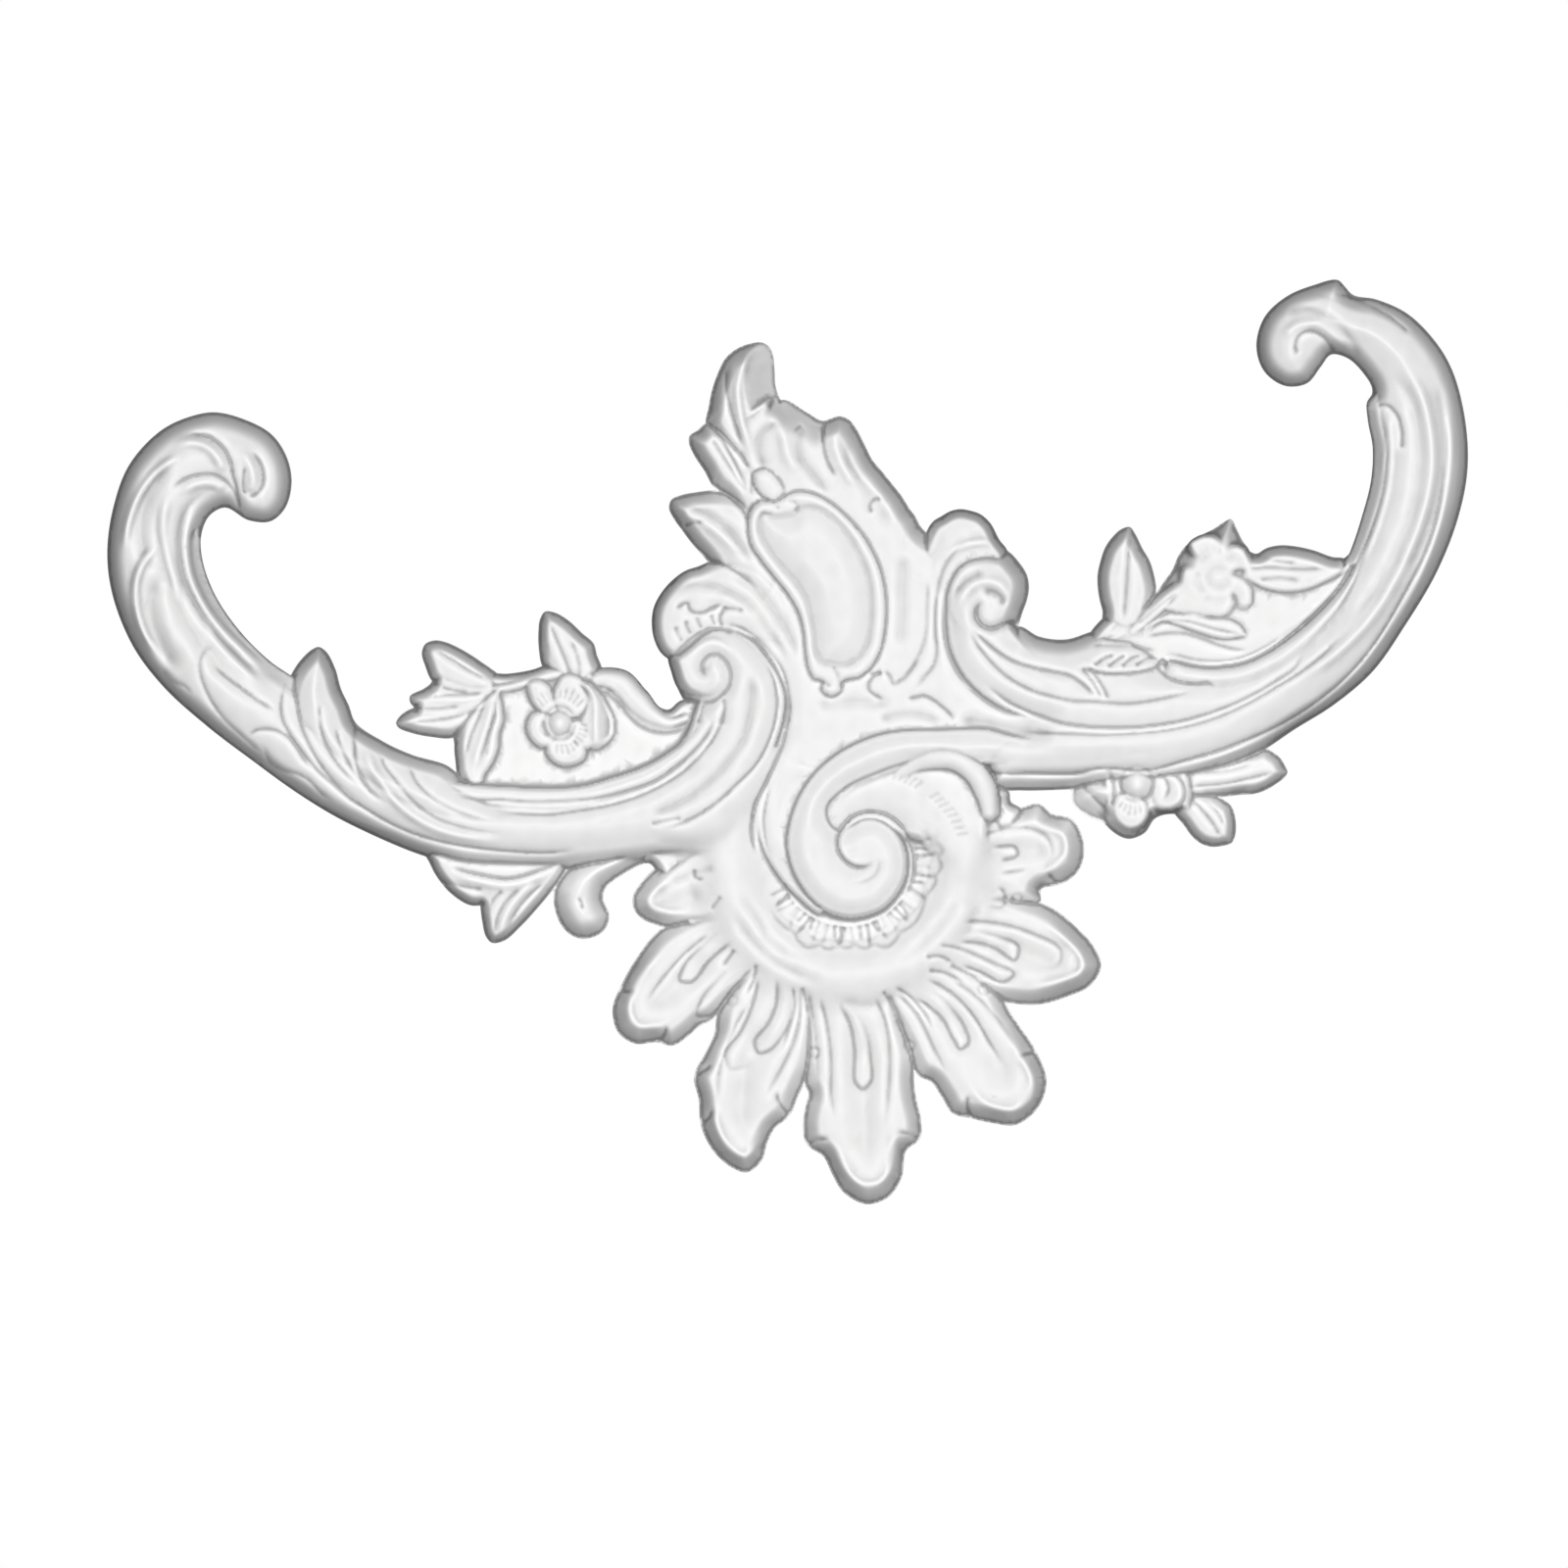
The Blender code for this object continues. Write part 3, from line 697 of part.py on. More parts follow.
def shell_carving(r):
    hub = np.array(SHELL_HUB)

    def at(angle, reach):
        a = np.radians(angle)
        return tuple(hub + reach * np.array((np.cos(a), np.sin(a))))

    # ragged rim of the inner ruffle, then its pleats
    rim = [at(214 + 5.2 * k, 48 + 1.6 * np.sin(1.25 * k) + 1.0 * np.cos(2.1 * k)) for k in range(34)]
    r.lap(rim, 1.6, 3.6, side=1, fade=(0.15, 0.15))
    for k in range(31):
        angle = 216 + 5.6 * k
        lean = 5.0 * np.sin(1.7 * k)
        far = 44.5 + 2.2 * np.sin(2.9 * k)
        r.groove([at(angle, 35.5), at(angle + 0.4 * lean, 39.5), at(angle + lean * 0.6, far)], 1.2, 1.2,
                 fade=(0.08, 0.3))
    # short comb strokes on the upper right of the swell
    for k in range(13):
        angle = 62 - 4.6 * k
        near = 47.5 + 0.9 * k
        r.groove([at(angle, near), at(angle - 1.0, near + 8.0)], 0.6, 1.2, fade=(0.25, 0.35))
    # long soft folds that follow the swell
    for reach, first, last, cut in ((56, 196, 250, 1.2), (66, 200, 262, 1.4), (74, 262, 300, 1.0),
                                    (60, 292, 360, 1.0), (70, 318, 372, 1.2)):
        r.groove([at(a, reach + 2.0 * np.sin(a)) for a in np.linspace(first, last, 6)], cut, 3.2,
                 fade=(0.3, 0.3))
    # tongues: each a loop that leaves its end standing round
    tongues = ([-26,-80, -38,-90, -48,-101, -53,-100, -51,-93, -41,-82, -30,-73],
        [-14,-92, -26,-104, -38,-118, -44,-118, -42,-110, -32,-98, -22,-88],
        [-4,-98, -4,-112, -8,-122, -15,-132, -13,-137, -8,-136, -1,-129, 3,-120, 3,-108, 0,-98],
        [-13,-98, -16,-112, -22,-126, -30,-138, -27,-145, -20,-144, -14,-140],
        [27,-111, 33,-121, 36,-135, 37,-153, 40,-155.5, 44,-152, 44,-140, 42,-127, 37,-117, 32,-111],
        [65,-108, 73,-113, 81,-120, 87,-131, 90,-135, 94,-132, 92,-124, 86,-115, 78,-107, 68,-102],
        [88,-81, 98,-81, 108,-84, 118,-89.5, 119.5,-83, 110,-78, 98,-75, 90,-75],
        [90,-92, 100,-96, 112,-101, 117,-97, 108,-91, 96,-86],
        [97,-38, 103,-34, 110,-32, 118,-32.5, 119,-36, 113,-38.5, 105,-39, 99,-42, 97,-46],
        [99,-56, 102,-54, 110,-53, 113,-58, 112,-62, 102,-62], )
    for loop in tongues:
        r.groove(loop, 1.8, 1.6, fade=(0.12, 0.2))
        r.groove(loop, 0.9, 3.4, fade=(0.2, 0.3))
    for cut, width, line in ((1.8, 1.9, [-38,-76, -52,-88, -64,-102, -72,-114]),
        (1.6, 1.9, [-18,-112, -26,-126, -33,-146, -34,-164]),
        (1.8, 2.0, [8,-102, 8,-118, 4,-134, -4,-150, -12,-164]),
        (1.8, 1.9, [18,-108, 22,-124, 24,-142, 24,-160, 27,-174]),
        (1.8, 1.9, [12,-104, 15,-120, 17,-140, 17,-160]),
        (1.8, 1.9, [46,-108, 52,-122, 54,-140, 53,-160, 51,-176]), (1.6, 1.9, [53,-106, 60,-122, 62,-138]),
        (1.8, 1.9, [57,-106, 68,-118, 76,-134, 84,-150]),
        (2.0, 2.0, [72,-99, 86,-107, 97,-119, 106,-134, 114,-146]),
        (1.6, 1.9, [86,-100, 99,-109, 110,-121, 119,-134]),
        (2.0, 1.9, [90,-70, 108,-71, 126,-76, 141,-85, 140,-92, 132,-94]),
        (1.6, 1.9, [84,-92, 95,-97, 104,-100]),
        (1.6, 1.9, [96,-28, 108,-24, 122,-22, 134,-27, 137,-36, 132,-42]),
        (1.6, 1.9, [100,-46, 114,-45, 126,-43]), (1.6, 2.0, [-34,-42, -48,-47, -60,-52, -66,-60]),
        (1.4, 1.9, [-30,-52, -44,-58, -56,-64]), (1.4, 1.9, [-52,-36, -60,-40, -66,-47])):
        r.groove(line, cut, width, fade=(0.15, 0.3))
    # hollow down each lobe and the lifted rim round its tip
    for cut, width, line in ((1.8, 6.0, [-40,-54, -56,-60, -68,-60]),
        (2.2, 7.0, [-36,-86, -56,-104, -72,-117]), (2.4, 7.5, [-12,-118, -20,-146, -22,-172, -20,-186]),
        (2.4, 7.5, [38,-120, 40,-150, 41,-180, 42,-200]),
        (2.4, 7.5, [80,-110, 98,-130, 112,-148, 118,-158]), (2.2, 7.0, [104,-82, 126,-88, 146,-93]),
        (2.0, 6.5, [104,-38, 122,-34, 138,-32]),
        (-1.5, 1.9, [24,-178, 27,-188, 32,-198, 41,-204.5, 51,-202, 55.5,-194, 56.5,-184, 55,-174]),
        (-1.5, 1.9, [-36,-160, -34,-176, -27,-187, -19,-190, -14,-184, -12,-175]),
        (-1.5, 1.9, [94,-150, 98,-159, 108,-165.5, 119,-166, 126.5,-160, 127,-150, 122,-140, 114,-128]),
        (-1.4, 1.9, [122,-104, 140,-101, 152,-95, 152,-88, 144,-79, 132,-70]),
        (-1.4, 1.9, [124,-50, 136,-44, 144,-35, 143,-26, 136,-22, 124,-19]),
        (-1.4, 1.9, [-60,-84, -70,-93, -78,-106, -79,-116, -75,-123, -66,-124, -56,-121]),
        (-1.3, 1.9, [-54,-50, -64,-52, -69,-58, -68,-63, -60,-66, -48,-65])):
        r.groove(line, cut, width, fade=(0.25, 0.25))
    # short marks at the sides of the lobes, where each barb turns
    for line in ([-46,-149, -40,-146, -36,-142], [-43,-174, -38,-170, -36,-164], [3,-169, -2,-163, -4,-156],
        [12,-184, 18,-181, 24,-182], [69,-181, 62,-178, 57,-178], [95,-170, 93.5,-164, 94,-158],
        [129,-137, 123,-138, 119,-140], [-65,-132, -61,-128, -60,-122], [142,-51, 138,-49, 134,-44],
        [-84,-104, -80,-106, -76,-105]):
        r.groove(line, 2.6, 1.7, fade=(0.0, 0.35))
    # raised beads in the roots of the lobes
    for cx, cz in ((-26.5, -110.3), (15.5, -137), (64, -133.5), (102, -105), (119, -58.5)):
        r.groove(ellipse(cx, cz, 3.4, 3.4) + ellipse(cx, cz, 3.4, 3.4)[:1], 0.7, 1.2, fade=(0, 0))
        r.pad(ellipse(cx, cz, 2.4, 2.4), 1.6, 2.4, base=15.8, hidden=True)


def build(step):
    r = Relief(step)
    infill_plates(r)
    crest(r)
    shell(r)
    lower_left_leaf(r)
    left_arm(r)
    right_arm(r)
    right_volute(r)
    right_arm_carving(r)
    crest_carving(r)
    cartouche(r)
    shell_carving(r)
    big_volute(r)
    small_left_volute(r)
    big_leaf(r)
    left_sprig(r)
    right_sprig(r)
    lower_right_sprig(r)
    r.finish(1)
    return r


def outline_mesh(r):
    """Points and faces of the carved face, trimmed to its outline; x, z and height in millimetres."""
    s = r.inside.copy()
    h = r.height
    rows, cols = s.shape
    gx, gz = np.meshgrid(r.x, r.z)
    # grid points close to the outline move onto it, so no sliver is left
    near = np.abs(s) < 0.36 * r.step
    sz, sx = np.gradient(s, r.step)
    size = np.maximum(sx ** 2 + sz ** 2, 0.25)
    gx = np.where(near, gx - s * sx / size, gx)
    gz = np.where(near, gz - s * sz / size, gz)
    s[near] = 0.0
    index = -np.ones(s.shape, dtype=int)
    points = []

    def add(x, z, y):
        points.append((x, z, y))
        return len(points) - 1

    corner = ((0, 0), (0, 1), (1, 1), (1, 0))
    sign = np.sign(s).astype(int)
    block = np.stack([sign[a:rows - 1 + a, b:cols - 1 + b] for a, b in corner])
    full = (block >= 0).all(axis=0) & (block > 0).any(axis=0)
    part = (block > 0).any(axis=0) & ~full
    cuts = {}
    faces = []

    def node(i, j):
        if index[i, j] < 0:
            index[i, j] = add(gx[i, j], gz[i, j], LIP if sign[i, j] == 0 else h[i, j])
        return index[i, j]

    def cut(p, q):
        key = (min(p, q), max(p, q))
        if key not in cuts:
            f = s[p] / (s[p] - s[q])
            cuts[key] = add(gx[p] + f * (gx[q] - gx[p]), gz[p] + f * (gz[q] - gz[p]), LIP)
        return cuts[key]

    for i, j in zip(*np.nonzero(full)):
        a, b, c, d = (node(i + di, j + dj) for di, dj in corner)
        if abs(points[a][2] - points[c][2]) <= abs(points[b][2] - points[d][2]):
            faces += [(a, b, c), (a, c, d)]
        else:
            faces += [(a, b, d), (b, c, d)]
    for i, j in zip(*np.nonzero(part)):
        ring = []
        for k in range(4):
            p = (i + corner[k][0], j + corner[k][1])
            q = (i + corner[(k + 1) % 4][0], j + corner[(k + 1) % 4][1])
            if sign[p] >= 0:
                ring.append(node(*p))
            if sign[p] * sign[q] < 0:
                ring.append(cut(p, q))
        for k in range(1, len(ring) - 1):
            faces.append((ring[0], ring[k], ring[k + 1]))
    return np.array(points), faces


def primed_white():
    """White primer on rigid cast foam."""
    material = bpy.data.materials.new("white_primed_foam")
    material.use_nodes = True
    shader = material.node_tree.nodes["Principled BSDF"]
    shader.inputs["Base Color"].default_value = (0.86, 0.86, 0.85, 1.0)
    shader.inputs["Roughness"].default_value = 0.45
    shader.inputs["Metallic"].default_value = 0.0
    return material


def face_sheet(relief):
    """The carved face as a fine sheet, thinned to the solid's triangle count."""
    points, faces = outline_mesh(relief)
    # thinned at a reduced depth, which keeps the steep walls from folding over
    place = [(x * MM, -y * MM * THINNING_DEPTH, z * MM) for x, z, y in points]
    mesh = bpy.data.meshes.new("carved_face")
    mesh.from_pydata(place, [], faces)
    sheet = bpy.data.objects.new("carved_face", mesh)
    bpy.context.scene.collection.objects.link(sheet)
    thin = sheet.modifiers.new("thin", "DECIMATE")
    thin.ratio = FACE_TRIANGLES / len(faces)
    bpy.context.view_layer.update()
    shaped = sheet.evaluated_get(bpy.context.evaluated_depsgraph_get())
    bm = bmesh.new()
    bm.from_mesh(shaped.to_mesh())
    shaped.to_mesh_clear()
    for v in bm.verts:
        v.co.y /= THINNING_DEPTH
    settle_folds(bm)
    bpy.data.objects.remove(sheet)
    return bm


def settle_folds(bm):
    """Move the inner points of any face that turned over to the middle of their neighbours."""
    for _ in range(12):
        bm.normal_update()
        turned = [f for f in bm.faces if f.normal.y > -0.03]
        moved = {v for f in turned for v in f.verts if not v.is_boundary}
        if not moved:
            return
        for v in sorted(moved, key=lambda v: v.index):
            ring = [e.other_vert(v).co for e in v.link_edges]
            v.co = sum(ring, ring[0] * 0.0) / len(ring)


def close_behind(bm):
    """Level the rim, drop a short straight edge from it to the wall and close the flat back."""
    rim = [v for v in bm.verts if v.is_boundary]
    for v in rim:
        v.co.y = -LIP * MM
    edges = [e for e in bm.edges if e.is_boundary]
    drop = bmesh.ops.extrude_edge_only(bm, edges=edges)["geom"]
    for v in drop:
        if isinstance(v, bmesh.types.BMVert):
            v.co.y = 0.0
    foot = [e for e in bm.edges if e.is_boundary]
    bmesh.ops.contextual_create(bm, geom=foot)
    bmesh.ops.triangulate(bm, faces=[f for f in bm.faces if len(f.verts) > 3])
    bmesh.ops.recalc_face_normals(bm, faces=bm.faces)


def build_applique():
    for old in list(bpy.context.scene.objects):
        bpy.data.objects.remove(old)
    bm = face_sheet(build(GRID_STEP))
    close_behind(bm)
    mesh = bpy.data.meshes.new(NODE_NAME)
    bm.to_mesh(mesh)
    bm.free()
    mesh.materials.append(primed_white())
    mesh.shade_smooth()
    mesh.set_sharp_from_angle(angle=0.9)
    applique = bpy.data.objects.new(NODE_NAME, mesh)
    bpy.context.scene.collection.objects.link(applique)
    return applique


build_applique()
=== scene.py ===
"""White rococo wall applique, one cast relief, shown from straight in front on white.

The carved face is worked out here from named sizes by functions; sizes are in millimetres.
The back is the plane y = 0 and the face looks towards -Y.
"""
import bpy
import bmesh
import numpy as np
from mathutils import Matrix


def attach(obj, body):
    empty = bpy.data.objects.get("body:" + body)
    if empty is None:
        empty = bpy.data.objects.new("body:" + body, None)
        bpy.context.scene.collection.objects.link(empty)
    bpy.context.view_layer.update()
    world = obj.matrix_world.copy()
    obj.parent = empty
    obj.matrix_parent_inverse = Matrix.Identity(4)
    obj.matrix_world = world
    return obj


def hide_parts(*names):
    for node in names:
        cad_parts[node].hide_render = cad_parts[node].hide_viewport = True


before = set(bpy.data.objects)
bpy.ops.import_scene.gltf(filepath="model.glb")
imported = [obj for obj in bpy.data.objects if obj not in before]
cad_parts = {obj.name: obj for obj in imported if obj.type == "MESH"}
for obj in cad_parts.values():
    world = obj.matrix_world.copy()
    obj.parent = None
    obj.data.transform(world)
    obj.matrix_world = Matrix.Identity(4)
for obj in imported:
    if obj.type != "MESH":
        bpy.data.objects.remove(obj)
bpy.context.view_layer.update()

MM = 0.001
FRAME_WIDTH = 0.8
GRID_STEP = 0.75
FACE_TRIANGLES = 186000
THINNING_DEPTH = 0.6
RIPPLES = 5
RIPPLE_LENGTH = 9.0
RIPPLE_RISE = 0.05
FRONT_LIGHT = 2.9
FRONT_LIGHT_SPREAD = 0.35
FRONT_LIGHT_DROP = 9.0
FRONT_LIGHT_TURN = 4.0
FILL = 0.02
FLOOR_SIZE = 8.0
FLOOR_LEVEL = -0.42
CAMERA_DISTANCE = 2.5
WHITE = (1.0, 1.0, 1.0, 1.0)
FLOOR_GREY = (0.9, 0.9, 0.9, 1.0)
PRIMER_DARK = (0.815, 0.815, 0.812, 1.0)
PRIMER_LIGHT = (0.85, 0.85, 0.848, 1.0)
# painted highlight: the near-white base colour that convex edges and shoulders go to
PAINTED_EDGE_HIGHLIGHT = (0.98, 0.98, 0.98, 1.0)
# painted shade: the grey base colour that creases and hollows go to
PAINTED_CREASE_SHADE = (0.42, 0.42, 0.42, 1.0)
ROUGHNESS = (0.42, 0.58)
MOTTLE_SCALE = 14.0
TOOTH_SCALE = 900.0
TOOTH_STRENGTH = 0.12
TOOTH_HEIGHT = 0.0002
SHARP_ANGLE = 1.1
PLATE = 12.5
SHELL_HUB = (32.0, -38.0)
FIELD_X = (-352.0, 356.0)
FIELD_Z = (-221.0, 264.0)
DEEPEST = 35.0
LIP = 2.0
CARVING_FLOOR = LIP + 0.5
DRAFT = 1.5
CURVE_SPACING = 1.2
FAR_OUTSIDE = -20.0
CELLS_AT_ONCE = 3000000
FOLD_LIMIT = -0.03
SNAP_SHARE = 0.36
FULL_EDGE_BEND = 0.25
FULL_CREASE_BEND = 0.35


def curve(points, closed=False):
    """Smooth curve through x, z pairs given in a row; a pair written twice is a sharp corner."""
    p = np.array(points, dtype=float).reshape(-1, 2)
    corners = [i for i in range(1, len(p)) if np.allclose(p[i], p[i - 1])]
    if closed and not corners:
        n = len(p)
        dense = hermite(np.vstack([p[-2:], p, p[:3]]), 2, 2 + n)
        return dense[:-1]
    if closed:
        runs = split_at_repeats(np.roll(p, -corners[0], axis=0))
        dense = [hermite(np.array(run))[:-1] for run in runs if len(run) > 1]
        return np.vstack(dense)
    runs = split_at_repeats(p)
    dense = [hermite(np.array(run)) for run in runs if len(run) > 1]
    out = [dense[0]] + [d[1:] for d in dense[1:]]
    return np.vstack(out)


def split_at_repeats(p):
    runs = [[p[0]]]
    for q in p[1:]:
        if np.allclose(q, runs[-1][-1]):
            runs.append([q])
        else:
            runs[-1].append(q)
    return runs


def hermite(p, first=0, last=None):
    """Dense points of the smooth curve from knot first to knot last."""
    last = len(p) - 1 if last is None else last
    gap = np.maximum(np.linalg.norm(np.diff(p, axis=0), axis=1), 1e-6)
    h = gap ** 0.75
    slope = np.diff(p, axis=0) / h[:, None]
    m = np.empty_like(p)
    if len(p) == 2:
        m[:] = slope[0]
    else:
        a, b = h[:-1, None], h[1:, None]
        m[1:-1] = (slope[:-1] * b + slope[1:] * a) / (a + b)
        m[0] = 1.5 * slope[0] - 0.5 * m[1]
        m[-1] = 1.5 * slope[-1] - 0.5 * m[-2]
    dense = []
    for i in range(first, last):
        n = max(2, int(np.ceil(gap[i] / CURVE_SPACING)))
        s = (np.arange(n) / n)[:, None]
        dense.append((2 * s**3 - 3 * s**2 + 1) * p[i] + (s**3 - 2 * s**2 + s) * h[i] * m[i]
                     + (3 * s**2 - 2 * s**3) * p[i + 1] + (s**3 - s**2) * h[i] * m[i + 1])
    dense.append(p[last][None, :])
    return np.vstack(dense)


def stations(t, values):
    """Value along a stroke from evenly spaced stations, eased between them."""
    v = np.atleast_1d(np.array(values, dtype=float))
    if len(v) == 1:
        return np.full(np.shape(t), v[0])
    if len(v) == 2:
        return v[0] + (v[1] - v[0]) * t
    n = len(v) - 1
    s = np.clip(t, 0.0, 1.0) * n
    i = np.minimum(s.astype(int), n - 1)
    f = s - i
    m = np.gradient(v)
    flat = np.zeros(n + 1, dtype=bool)
    flat[1:-1] = (v[1:-1] - v[:-2]) * (v[2:] - v[1:-1]) <= 0
    m[flat] = 0.0
    return ((2 * f**3 - 3 * f**2 + 1) * v[i] + (f**3 - 2 * f**2 + f) * m[i]
            + (3 * f**2 - 2 * f**3) * v[i + 1] + (f**3 - f**2) * m[i + 1])


def shoulder(u, draft=DRAFT):
    """Drafted rise from 0 at the edge, rounding over to 1 on the flat."""
    return 1.0 - (1.0 - np.clip(u, 0.0, 1.0)) ** draft


def ease(u):
    u = np.clip(u, 0.0, 1.0)
    return u * u * (3.0 - 2.0 * u)


def nearest_on(path, x, z):
    """Fraction along the path and signed distance (left of travel is positive)."""
    shape = np.broadcast(x, z).shape
    gx = np.broadcast_to(x, shape).ravel()
    gz = np.broadcast_to(z, shape).ravel()
    a, b = path[:-1], path[1:]
    ab = b - a
    size = np.maximum((ab ** 2).sum(axis=1), 1e-9)
    length = np.concatenate([[0.0], np.cumsum(np.sqrt(size))])
    t_all = np.empty(len(gx))
    d_all = np.empty(len(gx))
    chunk = max(1, CELLS_AT_ONCE // len(a))
    for s in range(0, len(gx), chunk):
        px = gx[s:s + chunk, None] - a[None, :, 0]
        pz = gz[s:s + chunk, None] - a[None, :, 1]
        f = np.clip((px * ab[:, 0] + pz * ab[:, 1]) / size, 0.0, 1.0)
        dx = px - f * ab[:, 0]
        dz = pz - f * ab[:, 1]
        q = dx * dx + dz * dz
        k = q.argmin(axis=1)
        row = np.arange(len(k))
        share = f[row, k]
        cross = ab[k, 0] * pz[row, k] - ab[k, 1] * px[row, k]
        d_all[s:s + chunk] = np.sqrt(q[row, k]) * np.where(cross >= 0, 1.0, -1.0)
        t_all[s:s + chunk] = (length[k] + share * (length[k + 1] - length[k])) / length[-1]
    return t_all.reshape(shape), d_all.reshape(shape)


def edge_distance(path, x, z):
    """Distance to a closed outline, positive inside it."""
    ring = np.vstack([path, path[:1]])
    d = nearest_on(ring, x, z)[1]
    shape = np.broadcast(x, z).shape
    inside = np.zeros(shape, dtype=bool)
    for (x1, z1), (x2, z2) in zip(ring[:-1], ring[1:]):
        if z1 == z2:
            continue
        rows = np.nonzero((z1 > z[:, 0]) != (z2 > z[:, 0]))[0]
        if len(rows):
            cut = (x2 - x1) * (z[rows, 0] - z1) / (z2 - z1) + x1
            inside[rows] ^= x < cut[:, None]
    return np.abs(d) * np.where(inside, 1.0, -1.0)


def ellipse(cx, cz, rx, rz):
    """Eight points round an ellipse, for a closed outline."""
    a = np.arange(8) * 2 * np.pi / 8
    return list(zip(cx + rx * np.cos(a), cz + rz * np.sin(a)))


class Relief:
    """Height of the carved face above the flat back, on a square grid, in millimetres."""

    def __init__(self, step):
        self.step = step
        self.x = np.arange(FIELD_X[0], FIELD_X[1], step)
        self.z = np.arange(FIELD_Z[0], FIELD_Z[1], step)
        self.height = np.zeros((len(self.z), len(self.x)))
        self.inside = np.full(self.height.shape, FAR_OUTSIDE)

    def window(self, path, margin):
        low = path.min(axis=0) - margin
        high = path.max(axis=0) + margin
        cols = slice(*np.searchsorted(self.x, (low[0], high[0])))
        rows = slice(*np.searchsorted(self.z, (low[1], high[1])))
        return (rows, cols), self.x[cols][None, :], self.z[rows][:, None]

    def lay(self, win, top, depth, over=False, hidden=False, soft=0.0):
        """Join a form: it covers what is lower, or all that it stands on when over is set."""
        here = depth > 0
        old = self.height[win]
        new = top if over else np.maximum(old, top)
        if soft:
            new = new + np.maximum(soft - np.abs(old - top), 0.0) ** 2 / (4.0 * soft) * ease(depth / 3.0)
        self.height[win] = np.where(here, new, old)
        if not hidden:
            self.inside[win] = np.maximum(self.inside[win], depth)

    def pad(self, outline, rise, wall, dome=0.0, spread=30.0, base=0.0, draft=DRAFT, soft=0.0, over=False,
            hidden=False):
        """Plateau inside a closed outline with drafted walls and a gentle dome."""
        path = curve(outline, closed=True)
        win, x, z = self.window(path, 4.0)
        depth = edge_distance(path, x, z)
        top = base + rise * shoulder(depth / wall, draft) + dome * shoulder(depth / spread)
        self.lay(win, top, depth, over, hidden, soft)

    def strip(self, spine, half, rise, base=(0.0,), bulge=2.0):
        """Rounded form along a spine: half width, rise and base by stations."""
        path = curve(spine)
        win, x, z = self.window(path, float(np.max(half)) + 4.0)
        t, d = nearest_on(path, x, z)
        w = np.maximum(stations(t, half), 1e-3)
        u = np.clip(np.abs(d) / w, 0.0, 1.0)
        body = stations(t, rise) * np.sqrt(np.maximum(1.0 - u ** bulge, 0.0))
        self.lay(win, stations(t, base) + body, w - np.abs(d))

    def dish(self, centre, reach, heights, outline):
        """Turned surface about a centre: heights at even steps from the inner to the outer reach."""
        path = curve(outline, closed=True)
        win, x, z = self.window(path, 4.0)
        depth = edge_distance(path, x, z)
        rho = np.hypot(x - centre[0], z - centre[1])
        top = stations(np.clip((rho - reach[0]) / (reach[1] - reach[0]), 0.0, 1.0), heights)
        self.lay(win, top * shoulder(depth / 5.0), depth, soft=4.0)

    def facet(self, outline, lean, fade=3.0, lift=0.0):
        """Tilt the surface inside an outline: lean is the slope along x and z about its middle."""
        path = curve(outline, closed=True)
        win, x, z = self.window(path, 1.0)
        depth = edge_distance(path, x, z)
        mid = path.mean(axis=0)
        shift = lift + lean[0] * (x - mid[0]) + lean[1] * (z - mid[1])
        old = self.height[win]
        new = np.maximum(old + shift * ease(depth / fade), CARVING_FLOOR)
        self.height[win] = np.where((old > CARVING_FLOOR) & (depth > 0), new, old)

    def plane(self, outline, edge, slope):
        """Cut a slanting face inside an outline, rising evenly from an edge of the piece."""
        path = curve(outline, closed=True)
        win, x, z = self.window(path, 1.0)
        depth = edge_distance(path, x, z)
        away = np.abs(nearest_on(curve(edge), x, z)[1])
        old = self.height[win]
        new = np.minimum(old, CARVING_FLOOR + slope * away)
        self.height[win] = np.where(old > CARVING_FLOOR, old + (new - old) * ease(depth / 1.5), old)

    def sand(self, outline, reach, fade=5.0):
        """Rub the surface smooth inside an outline, so that joined forms flow together."""
        path = curve(outline, closed=True)
        win, x, z = self.window(path, 3.0 * reach + 2.0)
        depth = edge_distance(path, x, z)
        old = self.height[win]
        smooth = old.copy()
        for _ in range(round(2 * (reach / self.step) ** 2)):
            for axis in (0, 1):
                smooth = (2 * smooth + np.roll(smooth, 1, axis) + np.roll(smooth, -1, axis)) / 4
        self.height[win] = old + (smooth - old) * ease(depth / fade)

    def groove(self, points, cut, width, fade=(0.15, 0.15)):
        """Crease with a sharp bottom, soft hollow when wide, raised thread when the cut is negative."""
        path = curve(points)
        win, x, z = self.window(path, 3.0 * width)
        t, d = nearest_on(path, x, z)
        fall = cut * ease(t / max(fade[0], 1e-3)) * ease((1 - t) / max(fade[1], 1e-3))
        if cut > 0 and width < 2.3:
            fall = fall * np.exp(-np.abs(d) / (0.75 * width))
        else:
            fall = fall * np.exp(-(d / width) ** 2)
        old = self.height[win]
        new = np.maximum(old - fall, CARVING_FLOOR)
        self.height[win] = np.where(old > CARVING_FLOOR, new, old)

    def grooves(self, fade, *rows):
        """Several grooves, each given as its cut, its width and its line."""
        for cut, width, line in rows:
            self.groove(line, cut, width, fade)

    def lap(self, points, drop, reach, side=1, fade=(0.15, 0.15)):
        """Edge of an overlapping form: the surface drops on one side and climbs back."""
        path = curve(points)
        win, x, z = self.window(path, 4.0 * reach)
        t, d = nearest_on(path, x, z)
        d = d * side
        fall = ease(t / max(fade[0], 1e-3)) * ease((1 - t) / max(fade[1], 1e-3))
